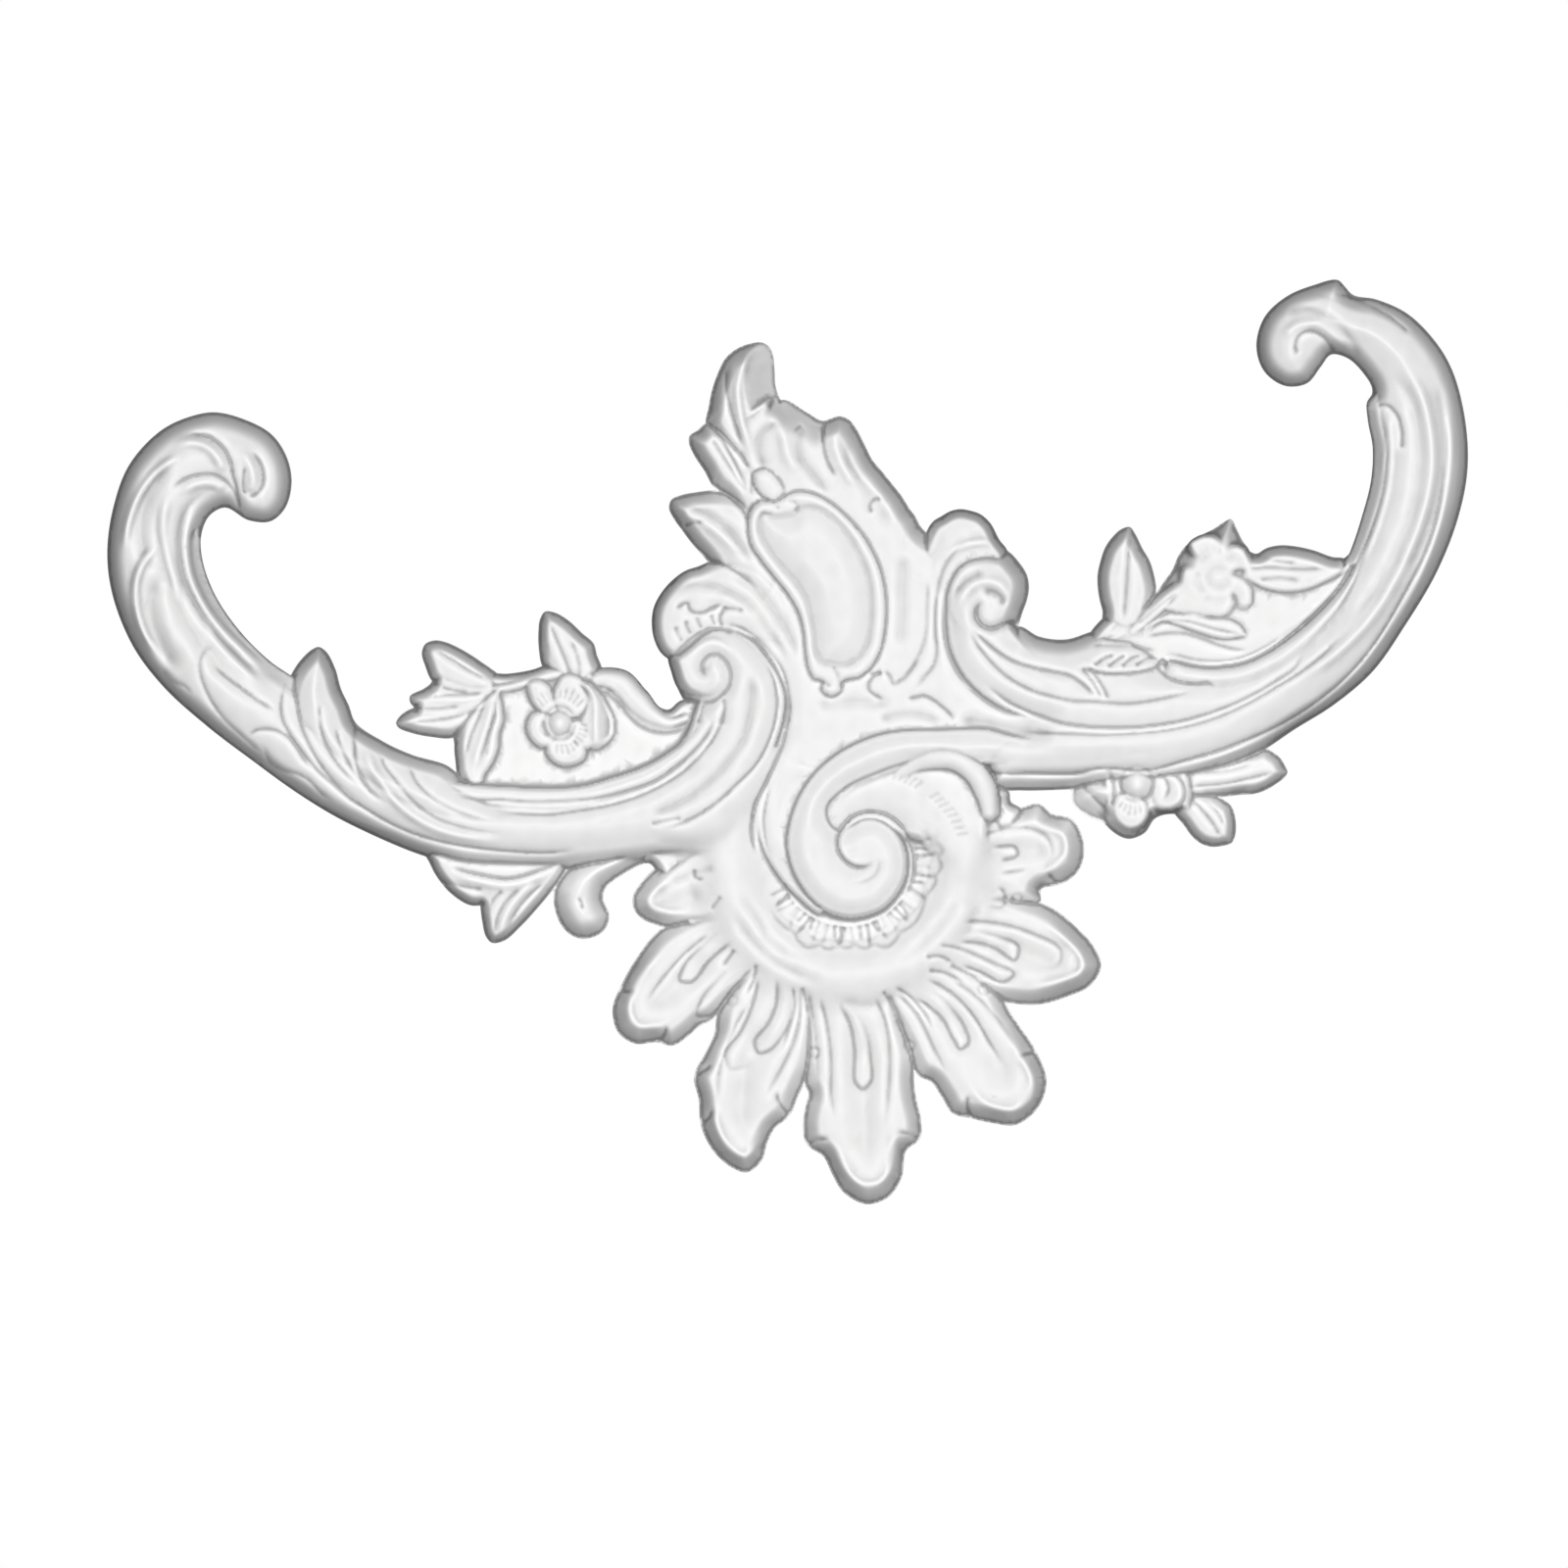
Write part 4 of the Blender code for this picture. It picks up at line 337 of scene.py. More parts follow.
        # the brow is a sharp edge, rounded over a fifth of the reach
        brow = reach * 0.22
        low = np.where(d > 0, np.exp(-d / reach) * ease(d / brow * 0.5 + 0.5), ease(d / brow * 0.5 + 0.5))
        ends = np.where((t <= 0) | (t >= 1), 0.0, 1.0)
        old = self.height[win]
        new = np.maximum(old - drop * fall * low * ends, CARVING_FLOOR)
        self.height[win] = np.where(old > CARVING_FLOOR, new, old)

    def finish(self, passes=1):
        """Soften the field a little inside the outline, set the lip and the full depth of the cast."""
        mask = (self.inside > -self.step * 1.5).astype(float)
        h = np.where(mask > 0, np.maximum(self.height, LIP), 0.0)
        for _ in range(passes):
            for axis in (0, 1):
                num = 2 * h * mask + np.roll(h * mask, 1, axis) + np.roll(h * mask, -1, axis)
                den = 2 * mask + np.roll(mask, 1, axis) + np.roll(mask, -1, axis)
                h = np.where(mask > 0, num / np.maximum(den, 1e-9), 0.0)
        h = LIP + (h - LIP) * (DEEPEST - LIP) / (h.max() - LIP)
        self.height = np.where(mask > 0, np.maximum(h, LIP), 0.0)


def infill_plates(r):
    # ground of the centre, seen only between the volute and the shell
    r.pad([-69,-40.5, -71.5,-40.5, -74,-34, -60,-24, -46,-14, -20,0, 0,24, 80,24, 104,6, 115,-4, 115.8,-9,
            121,-12.5, 112,-40, 104,-80, 80,-112, 30,-124, -10,-112, -44,-84, -58,-62], 13.0, 5.0)
    r.pad([-166,0, -167.5,10, -168,22, -160,40, -151,56, -141,56.3, -128,58.5, -118,62, -100,62, -91.5,58,
            -83,55.5, -72,47, -63,39, -59,38, -53,42.5, -44,44, -48,20, -80,0, -120,-8], PLATE, 3.5)
    r.pad([150,60, 162,84, 180,92, 200,100, 236,117, 262,112, 285.5,115, 294,124, 290,105, 270,82, 240,60,
            200,54, 165,50], 16.0, 5.0, dome=1.5, spread=12.0)


def left_arm(r):
    r.pad([-295,30, -317,50, -332,70, -343,98, -345.3,118, -342,142, -334,163, -317,181, -303,187.5,
            -291,189.7, -276,186.3, -261,178, -253,165, -251.3,152, -255,140, -262,134, -273,134.5,
            -285.5,141, -293,137, -297.3,127, -297,116, -291,98, -278,78.5, -262,62.5, -250,54, -238,42,
            -222,30, -205,19, -185,9, -167,4, -150,0.7, -130,-0.3, -110,0, -90,4.5, -75,9.5, -60,17.5,
            -50,26, -46,34, -52,44, -57.5,57, -59,66, -52,75, -42,80, -28,78, -15,71, -6,58, -2,42, -1,24,
            -3,8, -8,-8, -18,-22, -32,-31, -48,-36, -62,-38, -78,-40.5, -95,-42.5, -115,-43.8, -140,-43.6,
            -165,-42, -178,-38.5, -190,-34.5, -210,-26, -230,-16, -250,-3.5, -270,11], 18.0, 10.0, dome=8.5,
        spread=21.0, draft=2.4, soft=3.0)
    # upright foot of the inner wall, with a slope above it
    r.pad([-246,50, -250,54, -262,62.5, -278,78.5, -291,98, -297,116, -298.2,127, -301,136, -306,144,
            -311,136, -316,118, -310,88, -290,56, -262,34], 11.0, 9.0, base=12.0, draft=1.0, hidden=True)
    # short step where the band stands on the infill, and the part that turns up along the S-curve
    r.pad([-202,4, -194,8, -180,4.5, -166,2.5, -153,1, -140,0.3, -130,-0.3, -120,-0.5, -110,0, -100,1.5,
            -90,4.5, -80,7.5, -70,11.5, -60,17.5, -52,23.5, -46,30, -42,38, -34,32, -44,14, -60,0, -80,-9,
            -110,-17, -140,-16, -166,-12, -192,-6], 22.0, 3.2, dome=4.0, spread=12.0)
    r.pad([-33,81.5, -25,80.5, -15,75, -7,66, 0,55, 3,45, 2.5,35, -1,22, -6,10, -12,-3, -15.5,-11, -22,-16,
            -34,-12, -48,0, -58,12, -50,30, -45,45, -40,60, -48,72], 20.5, 3.6, dome=5.5, spread=14.0,
        soft=3.0)
    r.pad([-2,20, -10,4, -14,-12, -16,-26, -24,-36, -38,-42, -56,-42, -72,-38, -84,-20, -60,0, -36,14,
            -20,30], 23.0, 18.0, dome=2.0, spread=24.0, soft=4.0)
    r.sand([-44,-36, -24,-38, -13,-30, -11,-12, -4,6, 2,18, -6,22, -18,10, -34,-4, -60,-14, -66,-30], 2.6)
    r.grooves((0.1, 0.08),
        (2.2, 1.8, [-183,-15, -150,-8, -130,-9, -110,-8.5, -95,-7, -80,-3.5, -65,2, -55,9, -45,18, -38,27,
            -35,36]),
        (1.8, 1.6, [-160,-14, -137,-15, -120,-15.5, -105,-13.5, -90,-11, -75,-6.5, -62,-0.5, -50,7.5,
            -40,18, -34,27, -31,36, -30.5,44]),
        (2.4, 1.8, [-252,56.5, -255,49, -256.5,39, -255,31, -250,22, -244,14, -237,6, -230,0, -222,-7,
            -213,-13, -203,-19, -190,-25, -177,-29, -165,-31.5, -150,-33.5, -138,-34.5, -118,-35,
            -105,-33]), (1.6, 2.6, [-16.5,57, -16,45, -17.5,33, -21,22, -28,12, -36,3, -50,-8, -68,-16]),
        (2.0, 1.9, [-62,-24, -46,-17, -35,-10, -25,-1, -15,9, -9,19, -5,30, -3.5,42, -5,53, -10,63.5,
            -18,72, -25,76.5, -35,78.5]),
        (2.2, 1.8, [-14,-36, -16.5,-23, -14.5,-10, -9,1, -3.5,13, 0.5,25, 2.6,38, 2,48, -1,58, -7,67,
            -15,75.5, -24,80.5, -33,82]), (1.2, 1.4, [-68,-20.5, -60,-18.5, -52,-17.5]))
    # inner edge moulding, long soft hollows and the leaf edges between them
    r.grooves((0.2, 0.2),
        (2.6, 2.6, [-290,150, -303,143, -308,132, -309,120, -307,106, -301,93, -292,80, -281,68, -268,56,
            -258,50]),
        (-2.0, 1.8, [-298,143, -304,130, -305,120, -302.5,105, -296,91, -287,79, -275,67, -262,55]),
        (-2.6, 1.7, [-337,118, -334,136, -327,151, -317,162, -307,168]),
        (3.6, 4.4, [-312,164, -322,152, -327,138, -327,122, -322,108]),
        (-2.6, 1.7, [-319,64, -328,80, -331,94, -330,106, -324,117, -318,122]),
        (3.4, 4.2, [-308,56, -317,70, -322,84, -322,96, -317,108]),
        (2.4, 4.2, [-320,146, -318,124, -312,100, -300,76, -286,58, -268,42]),
        (-1.6, 2.0, [-313,149, -316,141, -317,131, -315,118, -311,104, -308,90]),
        (1.8, 1.7, [-289,68.5, -292.5,69.5, -296.5,66, -297.8,58, -295,48, -288,36, -276,24, -262,12]),
        (1.8, 1.6, [-292,61, -285,55, -276,48, -266,41, -258,37]),
        (-1.2, 1.8, [-296,86, -290,74, -280,63, -268,52]),
        (2.2, 1.7, [-275,22, -270,27, -264,28, -257,26.5, -251,22, -246,14, -240,6]),
        (1.8, 1.7, [-268,22, -264.5,17, -263,12, -256,7, -248,5, -242,1.5, -237,-4, -228,-10]),
        (1.4, 1.6, [-318,60, -312,52, -306,50, -302,45]),
        (-1.2, 1.6, [-300,36, -284,22, -262,6, -240,-8, -220,-18, -196,-27]))
    # creases that wind into the tip
    r.grooves((0.25, 0.12),
        (3.6, 2.0, [-308,177, -300,178.7, -293,177, -286,171.5, -282.5,164.5, -281,157, -279,150, -278,143,
            -277,137]), (-2.0, 2.2, [-312,172, -303,174.5, -294,172, -288,165, -286,159]),
        (3.0, 2.2, [-314,149, -307,155, -299,157.8, -291,157.8, -284,154, -280,148, -278,141]),
        (-1.8, 2.0, [-308,148, -300,153, -292,153.5, -285,150]),
        (2.6, 1.8, [-272,171, -266,161, -265.5,154, -268,149, -274,146]),
        (-1.2, 1.8, [-277,170, -271.5,161, -271,154, -273,149]),
        (1.8, 1.5, [-275,163, -276,156, -276,151, -274.5,147]))


def big_leaf(r):
    """Acanthus leaf that lies along the arm, its tip curled free on the upper side."""
    r.pad([-249,60, -245,65, -241,68.5, -237.5,70, -234,68, -229,59, -226,48.5, -222,40, -219,32, -205,22,
            -190,15, -172,9.5, -167,6, -150,-4, -120,-14, -118,-26, -140,-31, -165,-30, -190,-24, -213,-12,
            -230,1, -246,18, -253.5,31, -254.5,42, -253,52], 20.0, 7.0, dome=8.5, spread=22.0)
    for cut, width, line in ((2.2, 1.8, [-246,58, -248,45, -247,33, -243,22, -238,12, -230,2, -216,-9]),
        (1.8, 1.6, [-237,42, -236,27, -232,17, -225,7, -214,-3]),
        (1.6, 1.8, [-229,30, -224,14, -214,0, -200,-12]),
        (-1.4, 1.8, [-213,21, -211,10, -205,0, -197,-10, -187,-18, -175,-24, -160,-27.5, -140,-29]),
        (1.6, 1.8, [-207,22, -204,10, -198,2, -190,-8, -178,-17, -160,-23, -140,-25]),
        (1.5, 1.8, [-192,14, -188,2, -178,-8, -164,-15, -145,-19]),
        (1.2, 1.8, [-176,8, -168,-2, -155,-9, -140,-12])):
        r.groove(line, cut, width, fade=(0.12, 0.3))
    r.lap([-219,33, -219.8,22, -218.5,9, -213,-2, -205,-11], 3.0, 5.0, side=1, fade=(0.05, 0.4))


def left_sprig(r):
    # the three small leaves share one body
    r.pad([-146,56, -154,61, -166,69, -178,72.5, -183.8,67, -182,59, -179.5,53, -184,48, -190.5,43.5,
            -189,39, -196,34, -197.5,31, -196,29, -190,26.5, -180,24.5, -168,24, -158,28, -146,38], 14.5,
        5.5, dome=1.0, spread=12.0)
    for outline in ([-148,57, -154,62, -167,70, -173,72.5, -178,73.3, -183,71.5, -184.8,67, -183,60,
            -179.5,52.5, -172,49, -160,45.5, -148,47],
        [-150,50, -165,49, -178,52, -184,48.5, -191,44.5, -190.5,41, -188,39, -176,37, -160,38, -150,42],
        [-148,46, -162,42, -178,39.5, -190,38.5, -196.5,34, -198,31, -197,29, -190,26, -180,24, -169,23.5,
            -158,30, -148,38], [-131,52, -140,49, -143,43, -141.5,37, -142.5,30, -144,27, -143,22, -147,14,
            -146,9, -151,3, -155,1, -161,2, -166,12, -168.5,22, -168.5,30, -165,37, -158,43, -148,50,
            -138,55], [-113,50, -123.3,60, -125,68, -125.3,78, -124.5,84, -122,88, -117,87.5, -110,83.5,
            -103,77, -97,71.5, -95.5,66, -93,58, -100,50]):
        r.pad(outline, 14.0, 5.5, dome=3.0, spread=12.0, soft=1.5)
    r.pad([-141,52, -144,46.5, -143,40, -142.5,32, -144.5,25, -145,18, -148,10, -152,4, -153,0, -159,-2,
            -164,4, -165.5,14, -165.5,24, -164,32, -158,40, -150,47], 5.6, 2.8, dome=1.6, spread=9.0,
        base=11.2)
    r.grooves((0.15, 0.2), (1.8, 1.7, [-150,53, -162,59, -172,65.5, -180,69.5]),
        (1.5, 1.6, [-152,46, -170,45.5, -187,43]), (1.8, 1.7, [-152,39, -170,34, -193,31]),
        (1.6, 1.6, [-150,48, -155,36, -160,24, -163.5,12]),
        (1.5, 1.5, [-146,46, -148,34, -152,22, -156,10]), (1.3, 1.5, [-146,38, -149,30, -151,22, -152,12]),
        (1.3, 1.5, [-158,38, -163,30, -166,22]), (-1.2, 1.8, [-148,42, -151,30, -155,18, -158,8]),
        (1.8, 1.7, [-108,53, -112,64, -117,76, -120.5,85]), (1.3, 1.5, [-104,54, -105,64, -109,74]),
        (1.3, 1.5, [-113,54, -119,64, -122,74]), (1.8, 1.5, [-180,52.5, -172,48.5, -160,47]),
        (1.4, 1.4, [-189,38.8, -176,38.5, -164,40]), (1.8, 1.5, [-131,52.5, -137,51, -141,47.5]))
    r.strip([-153,48, -140,49.5, -128,53, -116,56, -100,55], (3.0, 4.0, 4.5, 5.0, 5.0),
        (14, 15.5, 15.5, 15))
    # the stem from the flower to the small volute
    r.strip([-100,50, -93,53.5, -84,51.5, -76,43, -68,35.5, -59,31.5, -50,33.5],
        (5.0, 6.0, 7.5, 7.5, 6.0, 4.0, 3.0), (14, 16, 16.5, 16, 15, 15), bulge=2.6)
    r.grooves((0.12, 0.12),
        (2.2, 1.7, [-97,44.5, -91,46, -87,43, -82,37.5, -75,30.5, -68,27, -60,25.8, -54,27, -49,30]),
        (-1.0, 1.6, [-96,48, -89,49.5, -83,44, -76,36, -68,31, -60,29, -53,31]))
    # the large petal behind the others, turned away
    r.pad([-105,54, -99,53, -94,47, -90,40, -87,33, -87,26, -90,21, -97,17.5, -103,22, -105,30, -103,40],
        3.6, 3.2, dome=1.6, spread=7.0, base=14.0)
    flower(r, (-114.5, 31), (8.0, 8.6), 14.0, 22.5, 4.0,
        [-117,50, -113,56, -107,56.5, -101.5,53, -98.5,46, -100,38, -106,33, -114,34, -118.5,42],
        [-131,52, -126,54, -120,51, -117,45, -114,37, -119,34, -125,36.5, -129.5,43],
        [-120,37, -128,36.5, -131.5,30, -129.5,23, -124,18.5, -116,20, -113,29],
        [-121.5,22, -120.5,14, -115,9.5, -107,9.5, -101.5,13, -100.5,19, -104,26, -114,28],
        [-108,33, -100,31, -96,26, -96,20, -101,17, -107,20, -112,28])
    r.facet([-104,52, -98,52, -90,40, -87,32, -88,24, -96,19, -98,30, -98,42], (-0.8, 0.0), lift=0.3)


def flower(r, centre, button, base, top, rise, *petals):
    """Open flower: cupped petals with fine strokes towards a domed button."""
    cx, cz = centre
    for outline in petals:
        r.pad(outline, rise, 0.3 + 0.5 * rise, dome=0.3 * rise, spread=6.0, base=base)
        middle = np.array(outline, dtype=float).reshape(-1, 2).mean(axis=0) - centre
        reach = np.hypot(*middle)
        for k in (-2, -1, 0, 1, 2):
            a = np.arctan2(middle[1], middle[0]) + 0.2 * k
            near, far = reach * (0.74 + 0.05 * np.sin(5 * a)), reach * 1.3 - 0.9 * abs(k)
            r.groove([cx + near * np.cos(a), cz + near * np.sin(a), cx + far * np.cos(a),
                      cz + far * np.sin(a)],
                     0.5 + 0.12 * rise, 1.0, fade=(0.2, 0.4))
    ring = ellipse(cx, cz, *button)
    r.groove(ring + ring[:1], 0.3 * rise + 0.2, 1.6, fade=(0, 0))
    r.pad(ring, top - base, 0.9 * min(button), base=base, draft=1.7)


def lower_left_leaf(r):
    r.pad([-183,-36, -181,-40, -178,-46, -170,-55.8, -159.7,-62, -155,-62, -155,-62, -154,-70, -152,-78,
            -149.2,-81, -143.5,-80.3, -133.7,-72, -125.3,-62.8, -120,-56.5, -112,-46, -108,-34, -140,-34],
        11.5, 5.0, dome=3.0, spread=14.0)
    r.pad([-71,-40.2, -75,-42, -82,-46, -88,-50, -91,-53, -92.3,-58.5, -91,-62, -89.3,-66, -89.5,-70,
            -92,-75, -97,-78, -103,-79, -108,-77.5, -113,-73, -116,-67, -117.5,-60, -117,-52, -112,-44,
            -104,-38, -88,-33, -66,-28], 12.0, 10.0, dome=5.0, spread=14.0, draft=1.9)
    r.grooves((0.15, 0.15),
        (2.4, 1.8, [-172,-42, -160,-45, -150,-47, -142,-48, -133,-46.5, -125,-44, -115,-41.5]),
        (-1.4, 2.0, [-168,-46.5, -158,-49, -148,-51, -138,-51, -128,-48, -118,-44]),
        (1.6, 1.5, [-176,-49, -168,-51.5, -160,-53, -153,-54]),
        (1.4, 1.6, [-148,-78, -147,-70, -142,-60, -134,-53]), (1.4, 1.6, [-152,-66, -149,-60, -143,-54]),
        (1.4, 1.6, [-141,-76, -137,-66, -130,-57, -122,-50]),
        (-1.2, 1.8, [-145,-78, -142,-68, -136,-58, -126,-50]),
        (2.6, 1.9, [-119,-59, -116,-52, -111,-45, -105,-40, -98,-37.5]),
        (1.8, 1.7, [-106,-33, -105,-35.5, -98,-38.2, -88,-37, -78,-33.5, -66,-29]),
        (1.4, 1.3, [-105.5,-58, -103.5,-60, -103,-64]))


def small_left_volute(r):
    r.pad([-59,65, -57.5,57, -55,50, -51,45, -43,41, -35,41.5, -28,45, -23,51, -20,60, -22,70, -29,77,
            -37,79.3, -45,76.5, -52,71], 24.0, 6.0, dome=2.5, spread=12.0, draft=1.7, soft=1.5)
    spiral = [-38,54.3, -41,57, -41.7,61, -39,65, -34.5,66, -30,63, -27.3,57, -28,50.5, -31.5,45.5, -37,42,
        -43,41.7, -48,44, -51,48]
    r.grooves((0.1, 0.1), (1.8, 1.6, spiral), (2.4, 4.0, spiral),
        (2.6, 1.8, [-57,65, -53.5,68.5, -49,73, -43.5,76.8, -37,79.3, -31,78.5, -25,76.5]),
        (2.0, 1.9, [-42,41, -42.5,37, -45,31]), (1.4, 1.8, [-31,44, -30.5,38, -32,30]))


def crest(r):
    # core of the crest down to the centre of the piece
    r.pad([-40,80, -26,90, -12,104, -8,120, -10,138, -10,152, 0,166, 12,176, 30,172, 48,152, 62,130, 74,120,
            86,112, 96,96, 100,60, 130,40, 160,28, 150,12, 100,12, 40,0, 10,-30, -14,-34, -20,-20, -18,-4,
            -10,14, -6,34, -8,52, -18,68, -32,76], 18.5, 8.0, dome=2.0, spread=16.0)
    # top leaf
    r.pad([-40,184, -38.5,192, -37,200, -34,209, -30,217, -25,221.5, -18,224.5, -11,225.2, -7.5,223,
            -5.5,218, -4.8,211, -4.3,203, -2,196.5, 4,189, 8,178, 6,164, -2,150, -14,146, -28,165], 17.5,
        8.5, dome=2.0, spread=18.0)
    r.pad([-14,188, -8,193.5, 0,196, 11,190, 20,185.3, 24,186.5, 28,187.7, 33,186, 37,181, 41,173.5,
            45,165.5, 50,159.5, 56,152, 60,147, 64,140.5, 67,136.5, 70,131, 72.5,128.5, 82,121, 90,106,
            80,92, 40,96, 14,118, -16,150, -20,170], 18.0, 9.0, dome=2.5, spread=20.0)
    # the two leaves that point left
    r.pad([-40,184, -44,180.5, -48.3,177.5, -48.5,174, -46,168, -40.5,159.5, -36,151.5, -30,146, -18,128,
            -4,132, 2,150, -14,168, -32,184], 15.5, 8.0, dome=3.5, spread=13.0, soft=2.0)
    r.pad([-37,149.8, -44,149, -52,147.5, -57.5,145, -58.7,141, -56,135, -52,129.5, -48,124, -41,116,
            -38,112, -34,104, -18,92, 2,84, 10,104, 2,130, -12,144, -26,149], 15.5, 7.5, dome=4.5,
        spread=16.0, soft=2.5)
    # rounded frilly lobe
    r.pad([-62,66, -66,73, -67.5,82, -66.5,90, -63,97, -57,104, -50,109, -44,111, -38,113.5, -28,116,
            -12,112, 2,98, 6,84, 2,68, -14,70, -40,70, -54,62], 18.0, 6.5, dome=3.4, spread=16.0, draft=2.3,
        soft=2.5)


def crest_carving(r):
    # the top leaf's face right of its ridge and the swell under the arc are planed away from the edge
    r.plane([-16,225, -9,229, -2,224, -1,210, -1,199, -4.5,196.5, -10,194, -16,189.5, -20.5,186, -23,194,
            -23.5,206, -20.5,216], [-10,225, -6,219, -4.8,211, -4.3,203, -3,197], 1.05)
    r.plane([-5,201, 5,200, 14,193, 22,188, 21.5,180, 20.5,170, 21,163, 14,165, 5,171, -3,180, -8,188,
            -8,196], [-4,198, 0,196, 11,190, 20,185.3], 1.4)
    r.sand([-11,191, -3,195.5, 6,188, 19.5,181, 20,164, 11,158, 1,165, -9,178], 2.4, fade=3.0)
    r.lap([-40,184, -34,178, -28,168, -22,156, -18,146], 3.0, 5.0, side=1, fade=(0.05, 0.3))
    r.lap([-37,149.5, -30,147, -24,142, -19,135, -17,126], 4.0, 5.0, side=1, fade=(0.05, 0.2))
    r.lap([-21,186, -16.4,188, -11.8,192, -6.6,195.3, -1.3,195.3], 1.2, 4.0, side=-1, fade=(0.25, 0.35))
    r.lap([-44,112, -36,112.5, -30,110.5, -22,106, -12,98], 2.6, 4.5, side=1, fade=(0.05, 0.4))
    r.grooves((0.15, 0.2), (-1.6, 1.7, [-15,222, -20.5,214, -23.5,204, -23,192, -20.5,180, -16,168]),
        (2.4, 1.8, [-28.5,214, -29.5,202, -27,190, -24,180, -21,172]),
        (1.6, 2.6, [-2,186, -12,178, -13,168, -8,160]), (-1.2, 2.6, [-8,190, -1,180, 2,168, 8,158]),
        (2.6, 1.8, [21.5,186, 20.5,179, 20.5,171, 23,163, 27,156]),
        (1.6, 2.6, [11,184, 8,175, 9,166, 16,156, 24,147]), (-1.4, 2.4, [26,184, 26,174, 30,163, 38,151]),
        (1.2, 3.0, [34,178, 33,168, 39,156, 48,144, 56,130]),
        (1.6, 1.8, [-38,178, -31,167, -24,156, -18,147]), (2.0, 1.6, [-51,131, -47,133, -41,133.5]),
        (1.8, 2.6, [-50,142, -40,139, -30,132, -22,122, -16,112]),
        (-1.2, 2.2, [-54,138, -42,134, -32,127, -22,117]),
        (2.6, 1.7, [-56,88.5, -51,92, -49.3,92, -48.3,89.5, -45,87.3, -40,88, -36,90, -32,91.5, -30,91.2]),
        (2.6, 1.6, [-30,91.5, -31,88.5, -32.6,85.5, -32.4,82.5, -31,79.5]),
        (1.4, 1.6, [-31,89.5, -27,89.5, -20,88.5]), (1.6, 1.4, [-37.5,87, -36,83, -35,80.5]),
        (1.6, 1.4, [-44.5,86, -43.5,82, -41.5,79]), (1.6, 1.5, [-50,84, -49,79, -46.5,76]),
        (1.4, 1.8, [-55.5,81, -54,76, -51,72]),
        (1.4, 2.6, [-60,97, -48,102, -36,101, -24,95, -12,84, -2,70, 5,58]),
        (1.2, 2.6, [-26,108, -15,101, -6,90, 2,77, 7,62]), (-0.9, 2.6, [-34,97, -22,92, -12,84, -3,74]),
        (1.1, 3.2, [61,118, 60,100, 60,84, 58,68]),
        (1.2, 1.9, [73.6,105, 73,90, 72.6,78, 69.5,67, 63,57, 56,51.5]),
        (1.6, 1.9, [94,126, 91,122, 86,117, 81.5,110, 78.7,100, 77.3,88, 77.3,76, 78,68, 76,60, 71,54,
            67,49, 62.5,46.5]), (2.4, 1.8, [62,43.5, 67,44.3, 71,45, 75,43.5, 80,40, 84,36.5, 87.5,32]),
        (1.8, 1.6, [43.5,56, 47,56.5, 50.5,57]),
        (2.0, 1.6, [51,57, 46,55, 43.4,51.5, 43.6,48, 47,45, 52,43.5]),
        (1.4, 1.5, [49,57, 52.5,56.5, 54.5,54, 56,51.5, 60,53, 65,58, 69,65]),
        (2.4, 3.4, [88,33, 100,31.2, 112,28.8, 125,27, 140,26]),
        (1.2, 2.6, [48,33, 60,35.5, 68,35.5, 75,33.5, 80,30.5]),
        (1.2, 3.4, [16,40, 30,41.5, 44,41.5, 56,40]))
    r.groove([4,179, 7,181.5, 10,184], 1.4, 1.8, fade=(0.4, 0.4))
    r.groove([-23,170, -20.5,168, -20,164, -17,162], 1.2, 1.4, fade=(0.2, 0.2))
    # small dent near the right edge and the small knobs beside the bud
    r.groove([45,138, 44,142, 46,145, 50,145.5], 1.8, 1.6)
    for cx, cz, q in ((-7, 141.5, 3.2), (4, 140.5, 3.2)):
        r.pad(ellipse(cx, cz, q, q), 0.9, q, base=20.4)


def cartouche(r):
    outer = [-12,144.5, -17,140, -18.5,130, -17,122, -12,114, -5,105, 2,96, 7,87, 9.5,78, 10.5,68, 12,59,
        15,53.5, 19,52, 19,47.5, 24,44.5, 29,47, 30.5,52, 33,53, 38,54, 44.5,59, 49.5,68, 52,80, 52.3,95,
        50,108, 46,118, 40,128, 33,136, 25,143, 15,148.5, 6,149.5, -3,145.5]
    inner = [-11,139, -14,133, -13,127, -8,118, 0,108, 6,101, 10,94, 12,86, 13.5,76, 15,67, 19,61.5, 25,60,
        32,60, 39,64, 43.5,71, 45.5,81, 46,92, 45,103, 41,115, 35,126, 28,135, 20,141, 10,142.5, 3,139,
        -4,138]
    r.pad(outer, 2.6, 3.0, base=20.3, over=True)
    r.pad(inner, -2.2, 2.0, dome=3.6, spread=13.0, base=22.9, over=True)
    r.groove(outer + outer[:2], 1.5, 1.4, fade=(0, 0))
    r.groove(inner + inner[:2], 1.2, 1.3, fade=(0, 0))
    r.grooves((0.2, 0.2), (1.2, 1.3, [24,61, 27,57, 28.5,52, 29,48]), (1.4, 1.4, [19,52, 22,51, 23,49]),
        (1.2, 1.3, [-11,143, -8,145, -4,142.5, -3,139]), (1.2, 1.3, [1,146, 4,144.5, 7,142, 5,138.5]))
    # bud above it
    bud = [-15.1,158.4, -9.2,160.4, -4,157, 0,149.2, -4.6,144.6, -10.5,146.6, -15.1,153.2]
    r.pad(bud, 1.6, 4.0, base=20.3, draft=1.6)
    r.groove(bud + bud[:2], 0.9, 1.2, fade=(0, 0))
    r.grooves((0.3, 0.3), (1.3, 1.4, [-15,146, -17,150, -16.5,155, -15,159]))


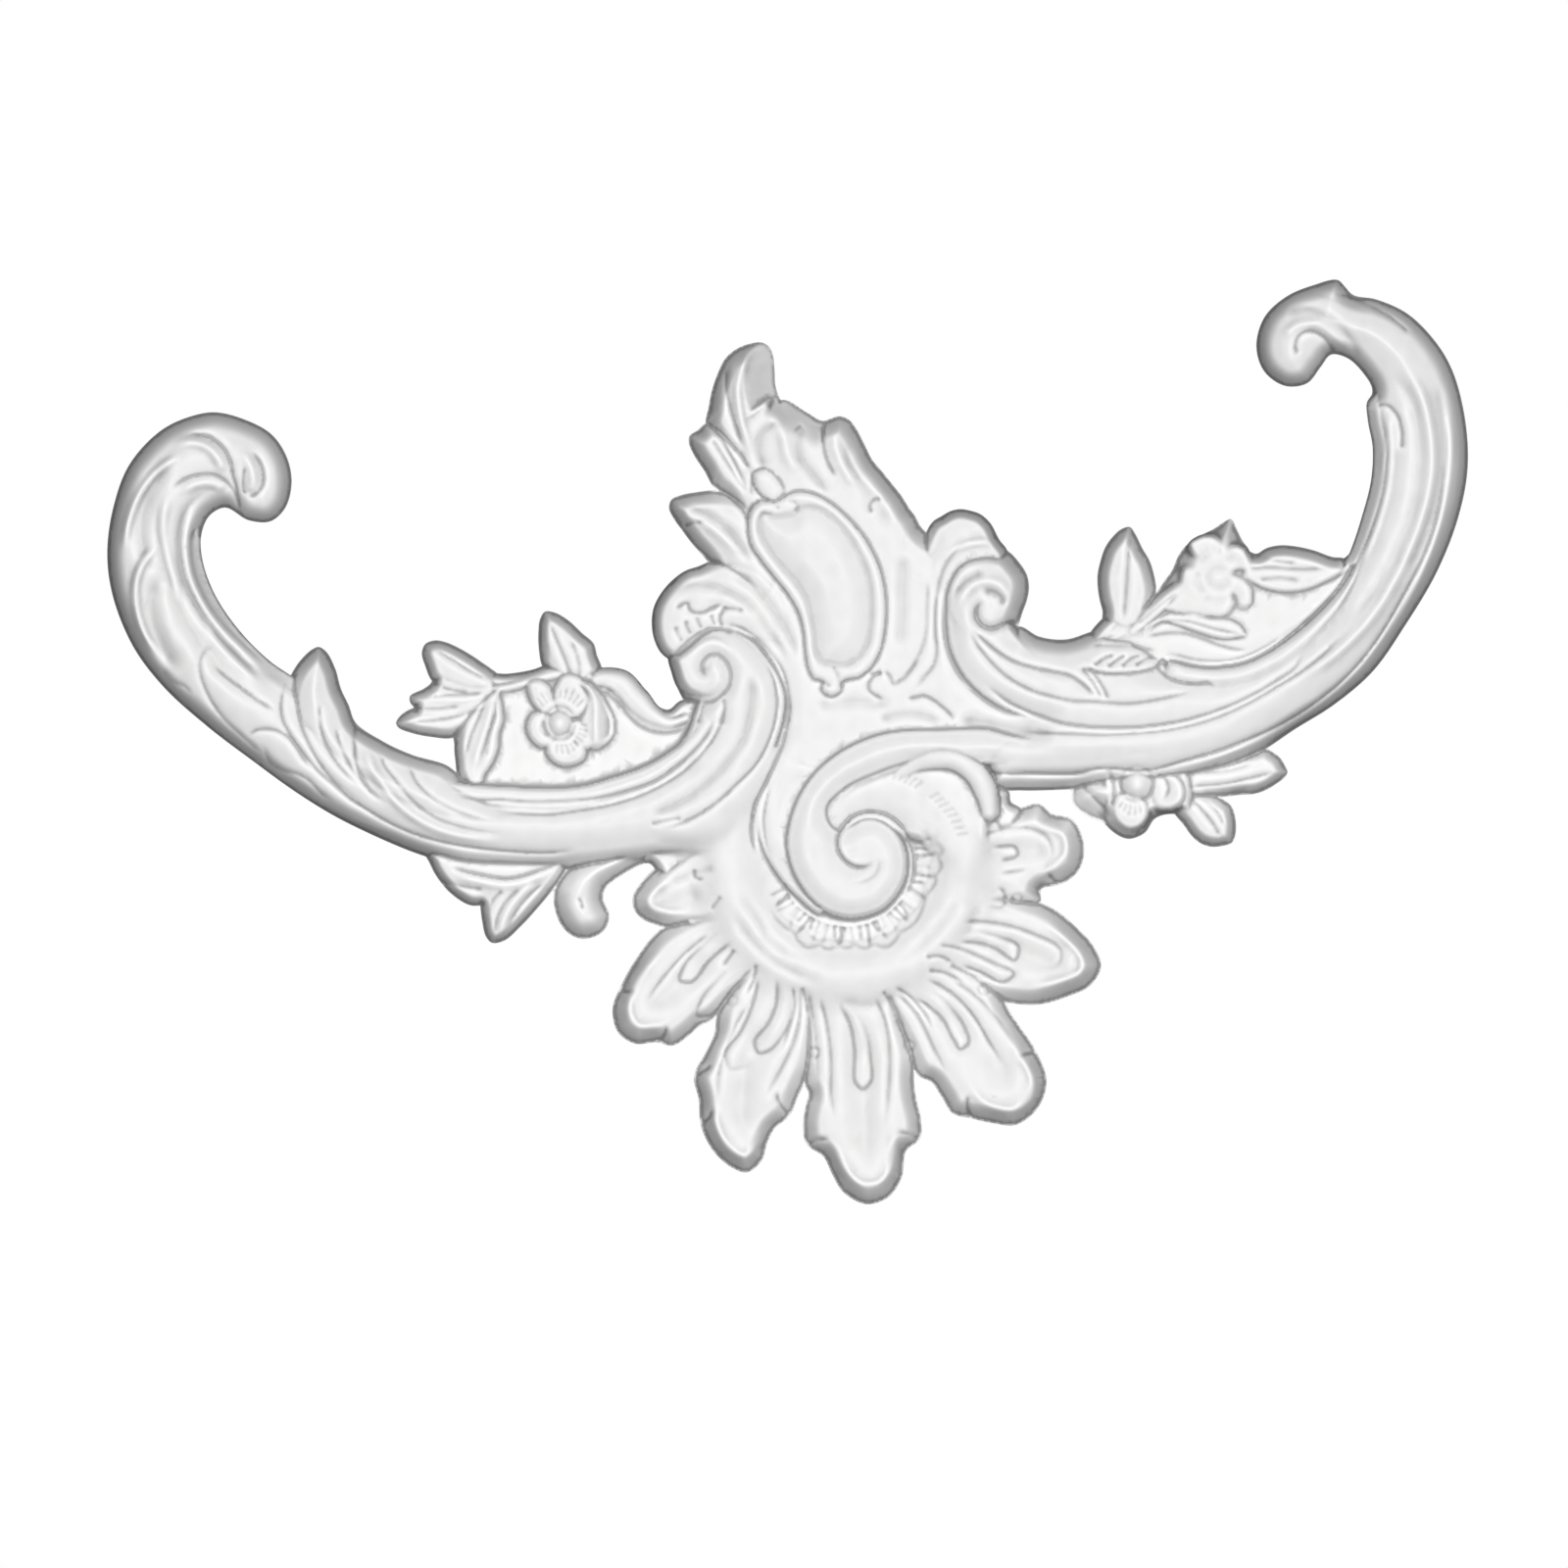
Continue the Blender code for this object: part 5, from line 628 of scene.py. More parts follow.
def right_volute(r):
    # the lobe behind, then the band that rolls up and over into the volute
    r.pad([72.5,128.5, 76,134, 80,136.5, 85,139.3, 90,140.3, 95,139.5, 100,137.8, 105,133.5, 110,124.5,
            114,119, 112,106, 92,92, 74,84, 66,100, 68,115], 17.5, 5.0, dome=3.0, spread=16.0)
    r.pad([77,88, 77.5,100, 80.5,108.5, 84.5,114.5, 90,118.6, 97,120.8, 106,121.2, 114,119, 120,113,
            124,106.5, 125,100, 124,94, 121.5,87, 119.7,80.5, 118,72, 104,64, 88,70], 20.5, 9.0, dome=5.5,
        spread=15.0)
    r.pad([80.5,98, 80,90, 80.2,80, 82,69, 87,57, 96,46, 108,37.5, 124,31.5, 150,28.5, 176,30, 170,46,
            140,60, 124,74, 112,90, 100,104, 88,106], 20.5, 4.0, dome=5.5, spread=15.0, soft=2.0)
    curl = [119.5,80.5, 116,82.5, 112,81.5, 108,79.8, 104.5,79.5, 101,81, 98.6,84, 98,88, 99.5,91.5,
        103,93.3]
    r.groove(curl, 3.6, 2.6, fade=(0.02, 0.3))
    r.groove(curl, 2.2, 1.6, fade=(0.1, 0.25))
    r.grooves((0.3, 0.25), (2.2, 2.3, [100,98, 104,98.2, 108,97, 111,94.5, 111.8,92, 111,89.5]),
        (1.6, 2.6, [86,94, 88.5,99, 93,104, 97.5,106.7, 104,107.5]),
        (-1.3, 2.4, [88,86, 90,94, 95,101, 102,103.5, 110,101.5, 114.5,95, 114,88]),
        (-1.2, 1.6, [82,113.5, 85.5,118, 91,121.5, 98,123.2, 106,123.3, 111,121.5]),
        (2.4, 1.9, [82,98, 81.3,90, 81.7,80, 83,70, 87,59.5, 93,51, 100,44.5, 108,39, 116,35.3, 125,32.5]),
        (-1.2, 1.6, [79.5,103, 79,94, 78.9,86, 79.3,76, 80.5,66]))


def right_arm(r):
    r.pad([246,18, 260,27.5, 280,40, 300,57, 317,81, 333,108, 344,136, 348.7,160, 347.8,184, 341,211,
            334,223.5, 318,240, 302,247.3, 290,249.8, 286,254, 283,257, 270,254.5, 256,248.5, 245,238,
            241,223, 245,210.5, 256,203, 267,204.5, 274,213, 279,219, 287,217.5, 296,209, 300,202, 300,199,
            297.5,195, 297.8,186, 300.3,172, 299.5,155, 295,137, 289,119, 280,99.5, 270,88.5, 258,78,
            244,68.5, 230,63.5, 212,62.8, 196,66, 190,69.5, 184,73.5, 178,77, 170,78, 161,79, 156,77.5,
            144,73.8, 130,75.3, 119.7,80.5, 108,72, 102,60, 108,50, 118,42, 122,36, 119,31, 112,26, 96,22,
            84,18, 88,12, 98,8, 104,3, 106,-2, 121,-3.3, 143.5,-2.8, 160,-2, 190,-1, 212,3, 230,9], 18.0,
        9.5, dome=8.5, spread=22.0, draft=2.3)
    # upright foot of the inner wall
    r.pad([286,112, 289,119, 295,137, 299.5,155, 300.3,172, 297.8,186, 297.5,193, 303,199, 311,190, 315,170,
            310,145, 300,120, 292,108], 10.0, 6.0, base=11.0, draft=1.2, hidden=True)
    # short step where the arm stands on the infill
    r.pad([194,65, 200,65.5, 208,63.5, 218,62.5, 230,63.5, 240,67, 250,72.5, 260,79.5, 270,88.5, 280,99.5,
            286,108, 290.5,118, 296.5,136, 300.5,152, 302,170, 305.5,190, 311,180, 308,150, 300,120, 290,92,
            276,74, 258,58, 236,48, 210,46, 190,50], 20.5, 5.5, dome=5.0, spread=12.0, soft=1.5)


def right_arm_carving(r):
    r.sand([108,24, 114,34, 122,38, 136,36, 146,30, 148,22, 136,18, 120,19], 2.6)
    r.lap([96.5,80, 100,75.5, 108,68.5, 117,63, 127,59.7, 137,57.7, 146,55.5, 154,50, 160,44], 1.8, 5.0,
        side=-1, fade=(0.15, 0.1))
    r.lap([98,54, 104,49, 112,43, 120,38.5, 130,34.5, 140,31.3, 152,29.3, 165,28.5, 180,28.7, 205,32.5,
            225,39], 2.0, 6.0, side=1, fade=(0.15, 0.3))
    r.grooves((0.1, 0.12),
        (1.8, 1.7, [96.5,80, 100,75.5, 108,68.5, 117,63, 127,59.7, 137,57.7, 146,55.5, 154,50, 160,44]),
        (2.0, 1.6, [94.5,80, 97.5,73, 103,65.5, 110,58, 118,52, 127,47.5, 137,44.5, 147,42.5, 160,42,
            175,41, 185,42, 197,44.5, 210,48]),
        (2.2, 1.8, [104,50, 112,43, 120,38.5, 130,34.5, 140,31.3, 152,29.3, 165,28.5, 180,28.7, 192,30,
            205,32.5, 215,35.5, 225,39, 238,45, 250,52, 261,60, 264,66, 265,71]),
        (1.8, 1.6, [120,26.8, 135,26, 150,25.5, 165,25.3, 180,26, 195,27.5, 215,32, 228,37, 240,43, 252,50,
            264,57.5, 276,67, 286,78]),
        (2.6, 1.9, [104,8, 125,6.3, 150,6.3, 162,8, 185,7, 205,12, 230,20, 255,31.5, 275,44.5, 292,60,
            303,74, 316,96, 328,120, 335,145, 337,168]),
        (1.3, 1.5, [190,4, 212,7.5, 232,14.5, 250,23.5, 270,36.5, 288,51.5, 304,70.5, 318,95, 331,122]),
        (-1.4, 1.7, [200,7, 222,14, 246,23, 268,36, 286,50, 302,69, 318,94, 331,122, 338,150, 340,176,
            336,200]),
        (1.6, 3.6, [311,212, 319,198, 323,183, 324.5,165, 322,145, 315,124, 303,101, 288,82]),
        (-1.7, 2.4, [318,212, 326,196, 330,178, 330.5,158, 325,134, 314,108, 299,84, 281,66, 262,53]),
        (1.4, 3.4, [333,206, 336,186, 336,160, 329,132, 317,106]),
        (-1.2, 1.8, [308,190, 309.5,172, 308,152, 303,133, 294,112]),
        (2.4, 1.8, [302,192.5, 307,193.5, 312,189.5, 315,181, 315,170]),
        (2.2, 2.0, [281,219, 277.5,225.5, 273,229.5, 268,231, 262.5,228.5, 261,223, 263,218]),
        (-1.2, 2.0, [286,222, 280,229, 272,234.5, 262,234, 255,228]),
        (2.4, 1.8, [281,250.5, 290,247.8, 300,243.5, 311,237, 320,229]),
        (1.6, 2.6, [294,216, 288,228, 278,238, 266,243, 255,240]))
    r.facet([283,256, 288,250, 300,246, 300,240, 284,244, 270,250], (0.1, 0.25), 3.0)


def right_sprig(r):
    # tall leaf
    r.pad([172,75, 162.5,82, 162.5,88, 161,94, 160,101, 160,107, 161.5,114, 164,121, 168,126.5, 172,130,
            176.5,131.2, 179,128, 183,120, 186.5,114, 188.5,108, 190,98, 188,88, 184,78], 16.0, 6.5,
        dome=2.5, spread=12.0)
    # right-hand leaf
    r.pad([236,119, 241,117.5, 246,120.3, 253,121.8, 260,121.4, 270,119.3, 280,115.8, 286,115, 290,108,
            276,98, 264,94, 250,94, 240,97, 230,104], 20.0, 6.0, dome=1.0, spread=10.0)
    # body of the flower head, then the leaf under it
    r.pad([186,96, 190,98, 194,103.5, 198,109, 201,116, 205,121.5, 211,126, 219,130, 225,134, 228,135.3,
            231,130, 234,124, 237.5,119, 237,108, 238,98, 234,88, 226,80, 210,76, 196,80, 186,86], 19.0,
        10.0, dome=2.0, spread=12.0)
    r.pad([180,80, 184,74, 188,77, 192,79, 198,78, 208,74.5, 222,70.5, 232,71, 239.5,73.5, 238.5,79, 235,84,
            228,87.5, 218,88.5, 208,91, 200,92, 190,88], 18.5, 5.0, dome=2.5, spread=9.0)
    r.strip([178,78, 188,87, 199,97, 208,104], (4.5, 5, 5, 4), (18.5, 20.5, 21, 20.5), bulge=2.6)
    flower(r, (221.5, 105), (5.6, 5.0), 19.0, 21.4, 1.7,
        [222,110, 216,112.5, 209,117, 206,122, 211,126.5, 218,127.5, 224,122, 226,113],
        [217,107, 210,110, 204,110.5, 202.5,104, 204,96, 210,93, 216,97, 219,103],
        [219,100, 212,94.5, 213,88, 219,85.5, 226,86.5, 229.5,93, 226,99],
        [226,101, 230,96, 233,90, 237.5,91, 238.5,99, 234,104.5, 228,106],
        [226,108, 232,109.5, 237.5,108.5, 238,114, 234.5,121, 229,122, 225,114])
    # worn softer than the other flowers
    r.sand([198,96, 200,110, 205,124, 216,131, 230,126, 240,118, 241,98, 238,86, 224,82, 208,86], 0.8)
    # cut end of the branch
    r.lap([148,60.5, 155,59, 164,57, 174,57, 183,58.2, 189,60.2, 193.5,64.5], 3.4, 4.5, side=-1,
        fade=(0.2, 0.02))
    r.grooves((0.12, 0.2), (1.8, 1.6, [177,127, 175.5,112, 174.5,98, 173,82]),
        (1.6, 1.6, [180,81, 190,90, 201,98]), (1.6, 1.6, [186,76, 192,82, 204,83, 220,79, 236,75.5]),
        (1.3, 1.4, [196,86, 208,87, 222,84]),
        (1.8, 1.6, [184,75, 192,76.5, 202,77, 212,74.5, 223,70.5, 232,68.5, 239,69]),
        (1.8, 1.6, [236,110, 250,110.5, 264,109.5, 278,110.5]), (1.3, 1.5, [244,117, 254,113, 262,113]),
        (1.3, 1.5, [242,104, 254,105, 264,103.5]), (1.8, 1.5, [158,60, 163,64, 169,66]),
        (1.8, 1.5, [165,59.5, 170,63.5, 175,66]), (1.8, 1.5, [172,59.5, 177,64, 183,66]),
        (1.8, 1.5, [179,60, 184,63.5, 189,65]), (1.6, 1.6, [156,71, 168,70.5, 180,70, 191,67]),
        (1.5, 1.5, [193,65.5, 199,66, 208,63.8, 218,62.8, 230,63.6, 240,67, 250,72.5, 260,79.5, 270,88.5]),
        (2.6, 1.9, [192,64, 190.8,60, 194,55.8, 201,52.3, 210,51, 217,51.3, 221,48.5]),
        (2.0, 1.5, [155,59.5, 159,55, 163,48.5, 166,41.5]),
        (1.6, 1.4, [151.5,59, 155.5,55, 159.5,49, 162.5,43]))


def lower_right_sprig(r):
    r.pad([206,10, 225,13, 238,16.5, 246,18, 250,15.8, 253,13.5, 256,8.5, 257,6, 255.5,3.5, 251,0, 246,-3,
            240,-5, 233,-5.5, 220,-7, 200,-8], 11.0, 5.5, dome=2.5, spread=10.0)
    r.pad([205,-4, 216,-4, 225,-8.5, 228,-11, 230.5,-19, 230,-27, 228.5,-30, 224,-31.5, 218,-32, 213,-30.5,
            209,-27.5, 204,-21, 198,-12], 11.0, 5.5, dome=2.5, spread=10.0)
    r.pad([150,6, 146,-8, 148,-12, 155,-17, 163.5,-20.5, 170,-25, 180,-14, 180,10], 17.0, 15.0, draft=1.2)
    r.pad([160,12, 160,-8, 164,-20.5, 172,-27, 176,-28, 184,-25, 189.5,-17.5, 199,-15.3, 208,-18, 212,-6,
            208,10], 16.5, 6.5)
    r.pad([187,-7, 190,-12.5, 198,-13.5, 204.5,-9, 205,-1, 200,5, 191,5.5, 187,0], 4.2, 3.0, base=15.0)
    r.facet([187,-7, 190,-12.5, 198,-13.5, 204.5,-9, 205,-1, 200,5, 191,5.5, 187,0], (0.2, -0.08), 3.0,
        -0.6)
    r.groove([190,4.5, 194,3, 196,-1, 195,-6, 192,-9], 1.9, 1.8, fade=(0.1, 0.4))
    flower(r, (180, 0), (8.6, 9.0), 15.0, 22.5, 3.4,
        [169,-6, 167,-14, 170,-20, 176,-23.5, 182,-22, 186,-17, 185,-9, 180,-5, 173,-4])
    r.groove([165,8, 168,1, 168,-6, 166,-12], 2.2, 1.9)
    r.grooves((0.15, 0.2), (1.8, 1.7, [206,-1, 225,0, 240,3.5, 252,6]), (1.3, 1.5, [212,6, 226,7, 240,11]),
        (1.3, 1.5, [212,-4, 226,-4, 240,-1]), (1.8, 1.7, [207,-6, 214,-14, 220,-22, 223,-29]),
        (1.3, 1.5, [213,-7, 221,-14, 225,-22]), (1.6, 1.8, [150,2, 156,-5, 163,-12, 168,-19]))


def big_volute(r):
    # crescent between the S-curve and the spiral
    r.pad([2,22, -6,10, -12,-3, -15.5,-12, -16.5,-22, -14.5,-32, -10,-42, -3,-52, 6,-61, 18,-69, 24,-66,
            14,-40, 14,-10, 30,12, 16,24], 18.6, 4.5, dome=2.0, spread=14.0)
    # cupped surface inside the coil, out to the finger
    r.pad([6,-40, 6,-16, 18,4, 36,18, 60,23, 88,22, 105,12, 108,-6, 109,-24, 106,-42, 98,-54, 88,-54,
            80,-44, 73,-36, 62,-32, 52,-30, 40,-40, 20,-50], 22.0, 8.0, soft=3.0)
    r.sand([-9,0, -7,12, -2,30, 8,32, 14,16, 6,4, -3,-4], 2.4, 4.0)
    r.sand([70,-16, 82,-12, 96,-22, 112,-32, 114,-52, 98,-66, 80,-58, 72,-40], 3.0)
    ruffle(r)
    # the coil and the band that feeds it
    r.pad([196,18, 182,24, 165,24, 150,24, 135,25.2, 118,27.5, 104,31, 80,31, 60,30.5, 48,28.5, 38,25,
            28,20, 19,13.5, 10,4, 4,-6, 0,-17, -2,-29, -1,-38, 2,-47, 8,-57, 14,-63.5, 22,-68.5, 32,-71,
            42,-70, 52,-66, 59,-59, 64,-50, 65.5,-40, 64,-31, 60,-23, 53,-17, 46,-14.5, 39,-15, 33,-18,
            28,-20, 25,-14, 33,-5, 46,1.5, 64,7.5, 80,8.3, 92,6, 104,7, 120,7.5, 144,9, 172,12], 21.0, 4.6,
        dome=6.0, spread=13.0, soft=1.5)
    r.sand([104,12, 112,23, 130,21.5, 150,20, 176,20, 190,17, 168,11, 140,9.5, 116,9], 3.0, 4.0)
    r.groove([98,7.5, 106,5.8, 125,5, 150,5, 160,6.5], 3.2, 1.8, fade=(0.1, 0.2))
    r.lap([60,-57, 64,-50, 65.5,-40, 64,-31, 60,-23, 53,-17, 46,-15, 42,-15, 36,-17, 31,-21.5, 28,-28,
            28.5,-34, 32,-39, 37,-41.5, 42,-41, 46,-38.5], 5.5, 4.4, side=-1, fade=(0.15, 0.12))
    r.groove([47,-37, 48.5,-41, 46.5,-46, 41,-49.5, 33,-50.5], 0.9, 2.2, fade=(0.3, 0.4))
    r.groove([96,3, 90,5.5, 80,8, 64,7.8, 52,4.5, 41,0, 32,-6, 27,-13], 1.2, 1.6, fade=(0.15, 0.4))
    r.grooves((0.15, 0.15), (1.6, 1.6, [-6,4, -9,-8, -10.5,-20, -9,-32, -5,-43, 2,-53, 12,-62]),
        (2.4, 1.8, [-13,-38, -16,-30, -16.5,-22, -14.5,-10, -9,1, -3.5,13, 0.5,25, 2.6,38, 2,48]))
    # the finger that curls down on the right
    r.strip([56,3, 72,12.5, 86,13, 96,7, 102.5,-4, 104.5,-14], (3, 5.5, 6.5, 6.5, 6.5, 5.0),
        (3, 6, 9, 10, 10, 9), base=(18, 18.5, 18, 17, 16), bulge=2.4)


def shell(r):
    # lobes, drawn from the collar outwards
    lobes = ([-44,-30, -67,-44, -73,-50.5, -77,-57, -76.5,-64, -72,-69, -65,-72, -58,-74, -30,-70, -20,-45],
        [-30,-62, -64,-75, -74,-87, -82,-100.5, -87.5,-115, -84.5,-127, -76,-132.5, -65,-131.8, -57,-133.5,
            -47,-127, -43,-123.5, -38,-121.5, -24,-110, -4,-96, -8,-70],
        [-18,-90, -34,-114, -35.5,-127, -40,-137, -46,-149, -43.5,-161, -42.5,-174, -37,-186, -27,-195.5,
            -19,-198.2, -11,-191.5, -8.5,-183, -5,-176, 3,-169, 7,-160, 9.8,-154, 15,-142, 18,-110, 10,-92],
        [10,-95, 9,-138, 10.5,-153.5, 12.6,-158, 11.3,-163, 9.8,-174, 11.5,-184, 20,-190, 24.5,-199,
            30,-208, 42,-214.4, 53,-211, 60,-201, 62.5,-187, 69.5,-181, 70,-172, 67.4,-160, 66.4,-151,
            67,-138, 62,-120, 56,-98], [45,-98, 60,-132, 69,-149.2, 75,-152, 80.3,-159.4, 86,-168,
            95,-170.5, 106.4,-173, 118,-174, 129.7,-165, 134,-152, 129,-137, 119,-122, 114.5,-115, 110,-104,
            90,-84], [70,-90, 100,-108, 117,-112, 130,-112.5, 145,-108.3, 156,-103, 161.8,-93, 158,-83,
            148,-72, 138,-64, 124,-58, 100,-52, 80,-60], [84,-62, 112,-64, 131,-60, 131,-54, 142,-51,
            151,-43, 153,-31, 147,-18, 136.5,-15, 130,-10, 121,-12, 108,-16, 92,-10, 80,-30])
    for outline in lobes:
        r.pad(outline, 14.0, 8.5, dome=2.5, spread=16.0)
    # the broad swell about the volute, hollow towards it
    r.dish(SHELL_HUB, (33.0, 88.0), (11.5, 14.5, 17.5, 20.5, 21.5, 20.5, 17.5, 13.5, 9.5),
        [-54,-16, -58,-38, -52,-69, -41,-90, -25,-107, 1,-123, 32,-128, 63,-123, 90,-107, 110,-83, 119,-61,
            119,-38, 114,-22, 104,-8, 84,10, 50,16, 30,12, 16,12, 6,16, -2,22, -12,22, -26,14, -44,4])


def about_hub(angle, reach):
    """Point at an angle, in degrees, and a reach from the middle of the shell."""
    a = np.radians(angle)
    return SHELL_HUB[0] + reach * np.cos(a), SHELL_HUB[1] + reach * np.sin(a)


def ruffle(r):
    """Frilled ring inside the shell: ragged rim, inner fold and pleats that lean to and fro."""
    at = about_hub
    turns = np.arange(202.0, 388.0, 2.2)
    scallop = np.abs(np.sin(np.radians(11.0 * turns + 90.0 * np.sin(np.radians(4.0 * turns)))))
    scallop = scallop * (0.75 + 0.35 * np.sin(np.radians(5.0 * turns)))
    rim = [at(a, 46.0 + 3.4 * s + 1.2 * np.sin(0.11 * a)) for a, s in zip(turns, scallop)]
    r.lap(rim, 1.3, 5.0, side=1, fade=(0.15, 0.2))
    fold = [at(a + 5.0, 41.8 + 2.4 * s) for a, s in zip(turns, scallop)]
    r.groove(fold, 0.7, 2.0, fade=(0.15, 0.15))
    for k in range(39):
        angle = 206 + 4.5 * k + 1.1 * np.sin(2.1 * k)
        lean = 4.0 * np.sin(1.7 * k)
        far = 45.0 + 3.0 * np.sin(2.9 * k)
        r.groove([at(angle, 34.5), at(angle + 0.3 * lean, 39.5), at(angle + lean, far)],
                 1.3 + 0.8 * np.sin(1.1 * k), 1.8, fade=(0.05, 0.4))
    # short comb strokes in the cup, in two groups
    for k in range(15):
        angle = 60 - 3.4 * k
        near = 45.5 + 0.8 * k
        if k not in (5, 6):
            r.groove([at(angle, near), at(angle - 1.0, near + 8.0)], 0.6, 1.1, fade=(0.25, 0.35))


def shell_carving(r):
    at = about_hub
    # long soft folds that follow the swell
    for reach, first, last, cut in ((56, 196, 250, 1.2), (66, 200, 262, 1.4), (74, 262, 300, 1.0),
                                    (60, 292, 360, 1.0), (70, 318, 372, 1.2)):
        r.groove([at(a, reach + 2.0 * np.sin(a)) for a in np.linspace(first, last, 6)], cut, 3.2,
                 fade=(0.3, 0.3))
    # tongues: each a loop that leaves its end standing round
    tongues = ([-26,-80, -38,-90, -48,-101, -53,-100, -51,-93, -41,-82, -30,-73],
        [-14,-92, -26,-104, -38,-118, -44,-118, -42,-110, -32,-98, -22,-88],
        [-4,-98, -4,-112, -8,-122, -15,-132, -13,-137, -8,-136, -1,-129, 3,-120, 3,-108, 0,-98],
        [-13,-98, -16,-112, -22,-126, -30,-138, -27,-145, -20,-144, -14,-140],
        [27,-111, 33,-121, 36,-135, 37,-153, 40,-155.5, 44,-152, 44,-140, 42,-127, 37,-117, 32,-111],
        [65,-108, 73,-113, 81,-120, 87,-131, 90,-135, 94,-132, 92,-124, 86,-115, 78,-107, 68,-102],
        [88,-81, 98,-81, 108,-84, 118,-89.5, 119.5,-83, 110,-78, 98,-75, 90,-75],
        [90,-92, 100,-96, 112,-101, 117,-97, 108,-91, 96,-86],
        [97,-38, 103,-34, 110,-32, 118,-32.5, 119,-36, 113,-38.5, 105,-39, 99,-42, 97,-46],
        [99,-56, 102,-54, 110,-53, 113,-58, 112,-62, 102,-62])
    for loop in tongues:
        r.groove(loop, 1.9, 1.5, fade=(0.1, 0.5))
        r.groove(loop, 0.7, 3.4, fade=(0.2, 0.5))
    for cut, width, line in ((1.8, 1.9, [-38,-76, -52,-88, -64,-102, -72,-114]),
        (1.6, 1.9, [-18,-112, -26,-126, -33,-146, -34,-164]),
        (1.8, 2.0, [8,-102, 8,-118, 4,-134, -4,-150, -12,-164]),
        (1.8, 1.9, [18,-108, 22,-124, 24,-142, 24,-160, 27,-174]),
        (1.8, 1.9, [12,-104, 15,-120, 17,-140, 17,-160]),
        (1.8, 1.9, [46,-108, 52,-122, 54,-140, 53,-160, 51,-176]), (1.6, 1.9, [53,-106, 60,-122, 62,-138]),
        (1.8, 1.9, [57,-106, 68,-118, 76,-134, 84,-150]),
        (2.0, 2.0, [72,-99, 86,-107, 97,-119, 106,-134, 114,-146]),
        (1.6, 1.9, [86,-100, 99,-109, 110,-121, 119,-134]),
        (2.0, 1.9, [90,-70, 108,-71, 126,-76, 141,-85, 140,-92, 132,-94]),
        (1.6, 1.9, [84,-92, 95,-97, 104,-100]),
        (1.6, 1.9, [96,-28, 108,-24, 122,-22, 134,-27, 137,-36, 132,-42]),
        (1.6, 1.9, [100,-46, 114,-45, 126,-43]), (1.0, 2.6, [-34,-42, -48,-47, -60,-52, -66,-60]),
        (1.2, 1.5, [-32,-57, -35,-61, -38,-65]), (1.8, 1.6, [9,-103, 11,-110, 12,-119]),
        (1.6, 1.5, [4,-102, 5.5,-114, 2,-126, -2,-138]), (1.8, 1.6, [50,-105, 54.5,-112, 57.5,-120]),
        (1.8, 1.5, [56,-103, 66,-110, 73,-119, 76,-128]), (1.8, 1.6, [73,-95, 84,-97, 93,-103]),
        (1.8, 1.5, [72,-88.5, 80,-88, 88,-93]), (1.6, 1.5, [78,-82, 90,-84, 104,-90, 115,-96]),
        (1.6, 1.5, [-14,-91, -16,-101, -20,-109]), (1.6, 1.5, [-25,-84, -32,-94]),
        (1.6, 1.5, [-45.5,-43, -45.5,-47, -43,-48.5, -40,-47])):
        r.groove(line, cut, width, fade=(0.12, 0.35))
    # hollow down each lobe and the lifted rim round its tip
    for cut, width, line in ((1.8, 6.0, [-40,-54, -56,-60, -68,-60]),
        (2.2, 7.0, [-36,-86, -56,-104, -72,-117]), (2.4, 7.5, [-12,-118, -20,-146, -22,-172, -20,-186]),
        (2.4, 7.5, [38,-120, 40,-150, 41,-180, 42,-200]),
        (2.4, 7.5, [80,-110, 98,-130, 112,-148, 118,-158]), (2.2, 7.0, [104,-82, 126,-88, 146,-93]),
        (2.0, 6.5, [104,-38, 122,-34, 138,-32]),
        (-1.5, 1.9, [24,-178, 27,-188, 32,-198, 41,-204.5, 51,-202, 55.5,-194, 56.5,-184, 55,-174]),
        (-1.5, 1.9, [-36,-160, -34,-176, -27,-187, -19,-190, -14,-184, -12,-175]),
        (-1.5, 1.9, [94,-150, 98,-159, 108,-165.5, 119,-166, 126.5,-160, 127,-150, 122,-140, 114,-128]),
        (-1.4, 1.9, [122,-104, 140,-101, 152,-95, 152,-88, 144,-79, 132,-70]),
        (-1.4, 1.9, [124,-50, 136,-44, 144,-35, 143,-26, 136,-22, 124,-19]),
        (-1.4, 1.9, [-60,-84, -70,-93, -78,-106, -79,-116, -75,-123, -66,-124, -56,-121]),
        (-1.3, 1.9, [-54,-50, -64,-52, -69,-58, -68,-63, -60,-66, -48,-65])):
        r.groove(line, cut, width, fade=(0.25, 0.25))
    # short marks at the sides of the lobes, where each barb turns
    for line in ([-46,-149, -40,-146, -36,-142], [-43,-174, -38,-170, -36,-164], [3,-169, -2,-163, -4,-156],
        [12,-184, 18,-181, 24,-182], [69,-181, 62,-178, 57,-178], [95,-170, 93.5,-164, 94,-158],
        [129,-137, 123,-138, 119,-140], [-65,-132, -61,-128, -60,-122], [142,-51, 138,-49, 134,-44],
        [-84,-104, -80,-106, -76,-105]):
        r.groove(line, 2.6, 1.7, fade=(0.0, 0.35))
    # raised beads in the roots of the lobes
    for cx, cz in ((-26.5, -110.3), (15.5, -137), (64, -133.5), (102, -105), (119, -58.5)):
        ring = ellipse(cx, cz, 2.5, 2.5)
        r.groove(ring + ring[:1], 1.3, 1.0, fade=(0, 0))


def build(step):
    r = Relief(step)
    infill_plates(r)
    crest(r)
    shell(r)
    lower_left_leaf(r)
    left_arm(r)
    right_arm(r)
    right_volute(r)
    right_arm_carving(r)
    crest_carving(r)
    cartouche(r)
    shell_carving(r)
    big_volute(r)
    small_left_volute(r)
    big_leaf(r)
    left_sprig(r)
    right_sprig(r)
    lower_right_sprig(r)
    r.finish(1)
    return r


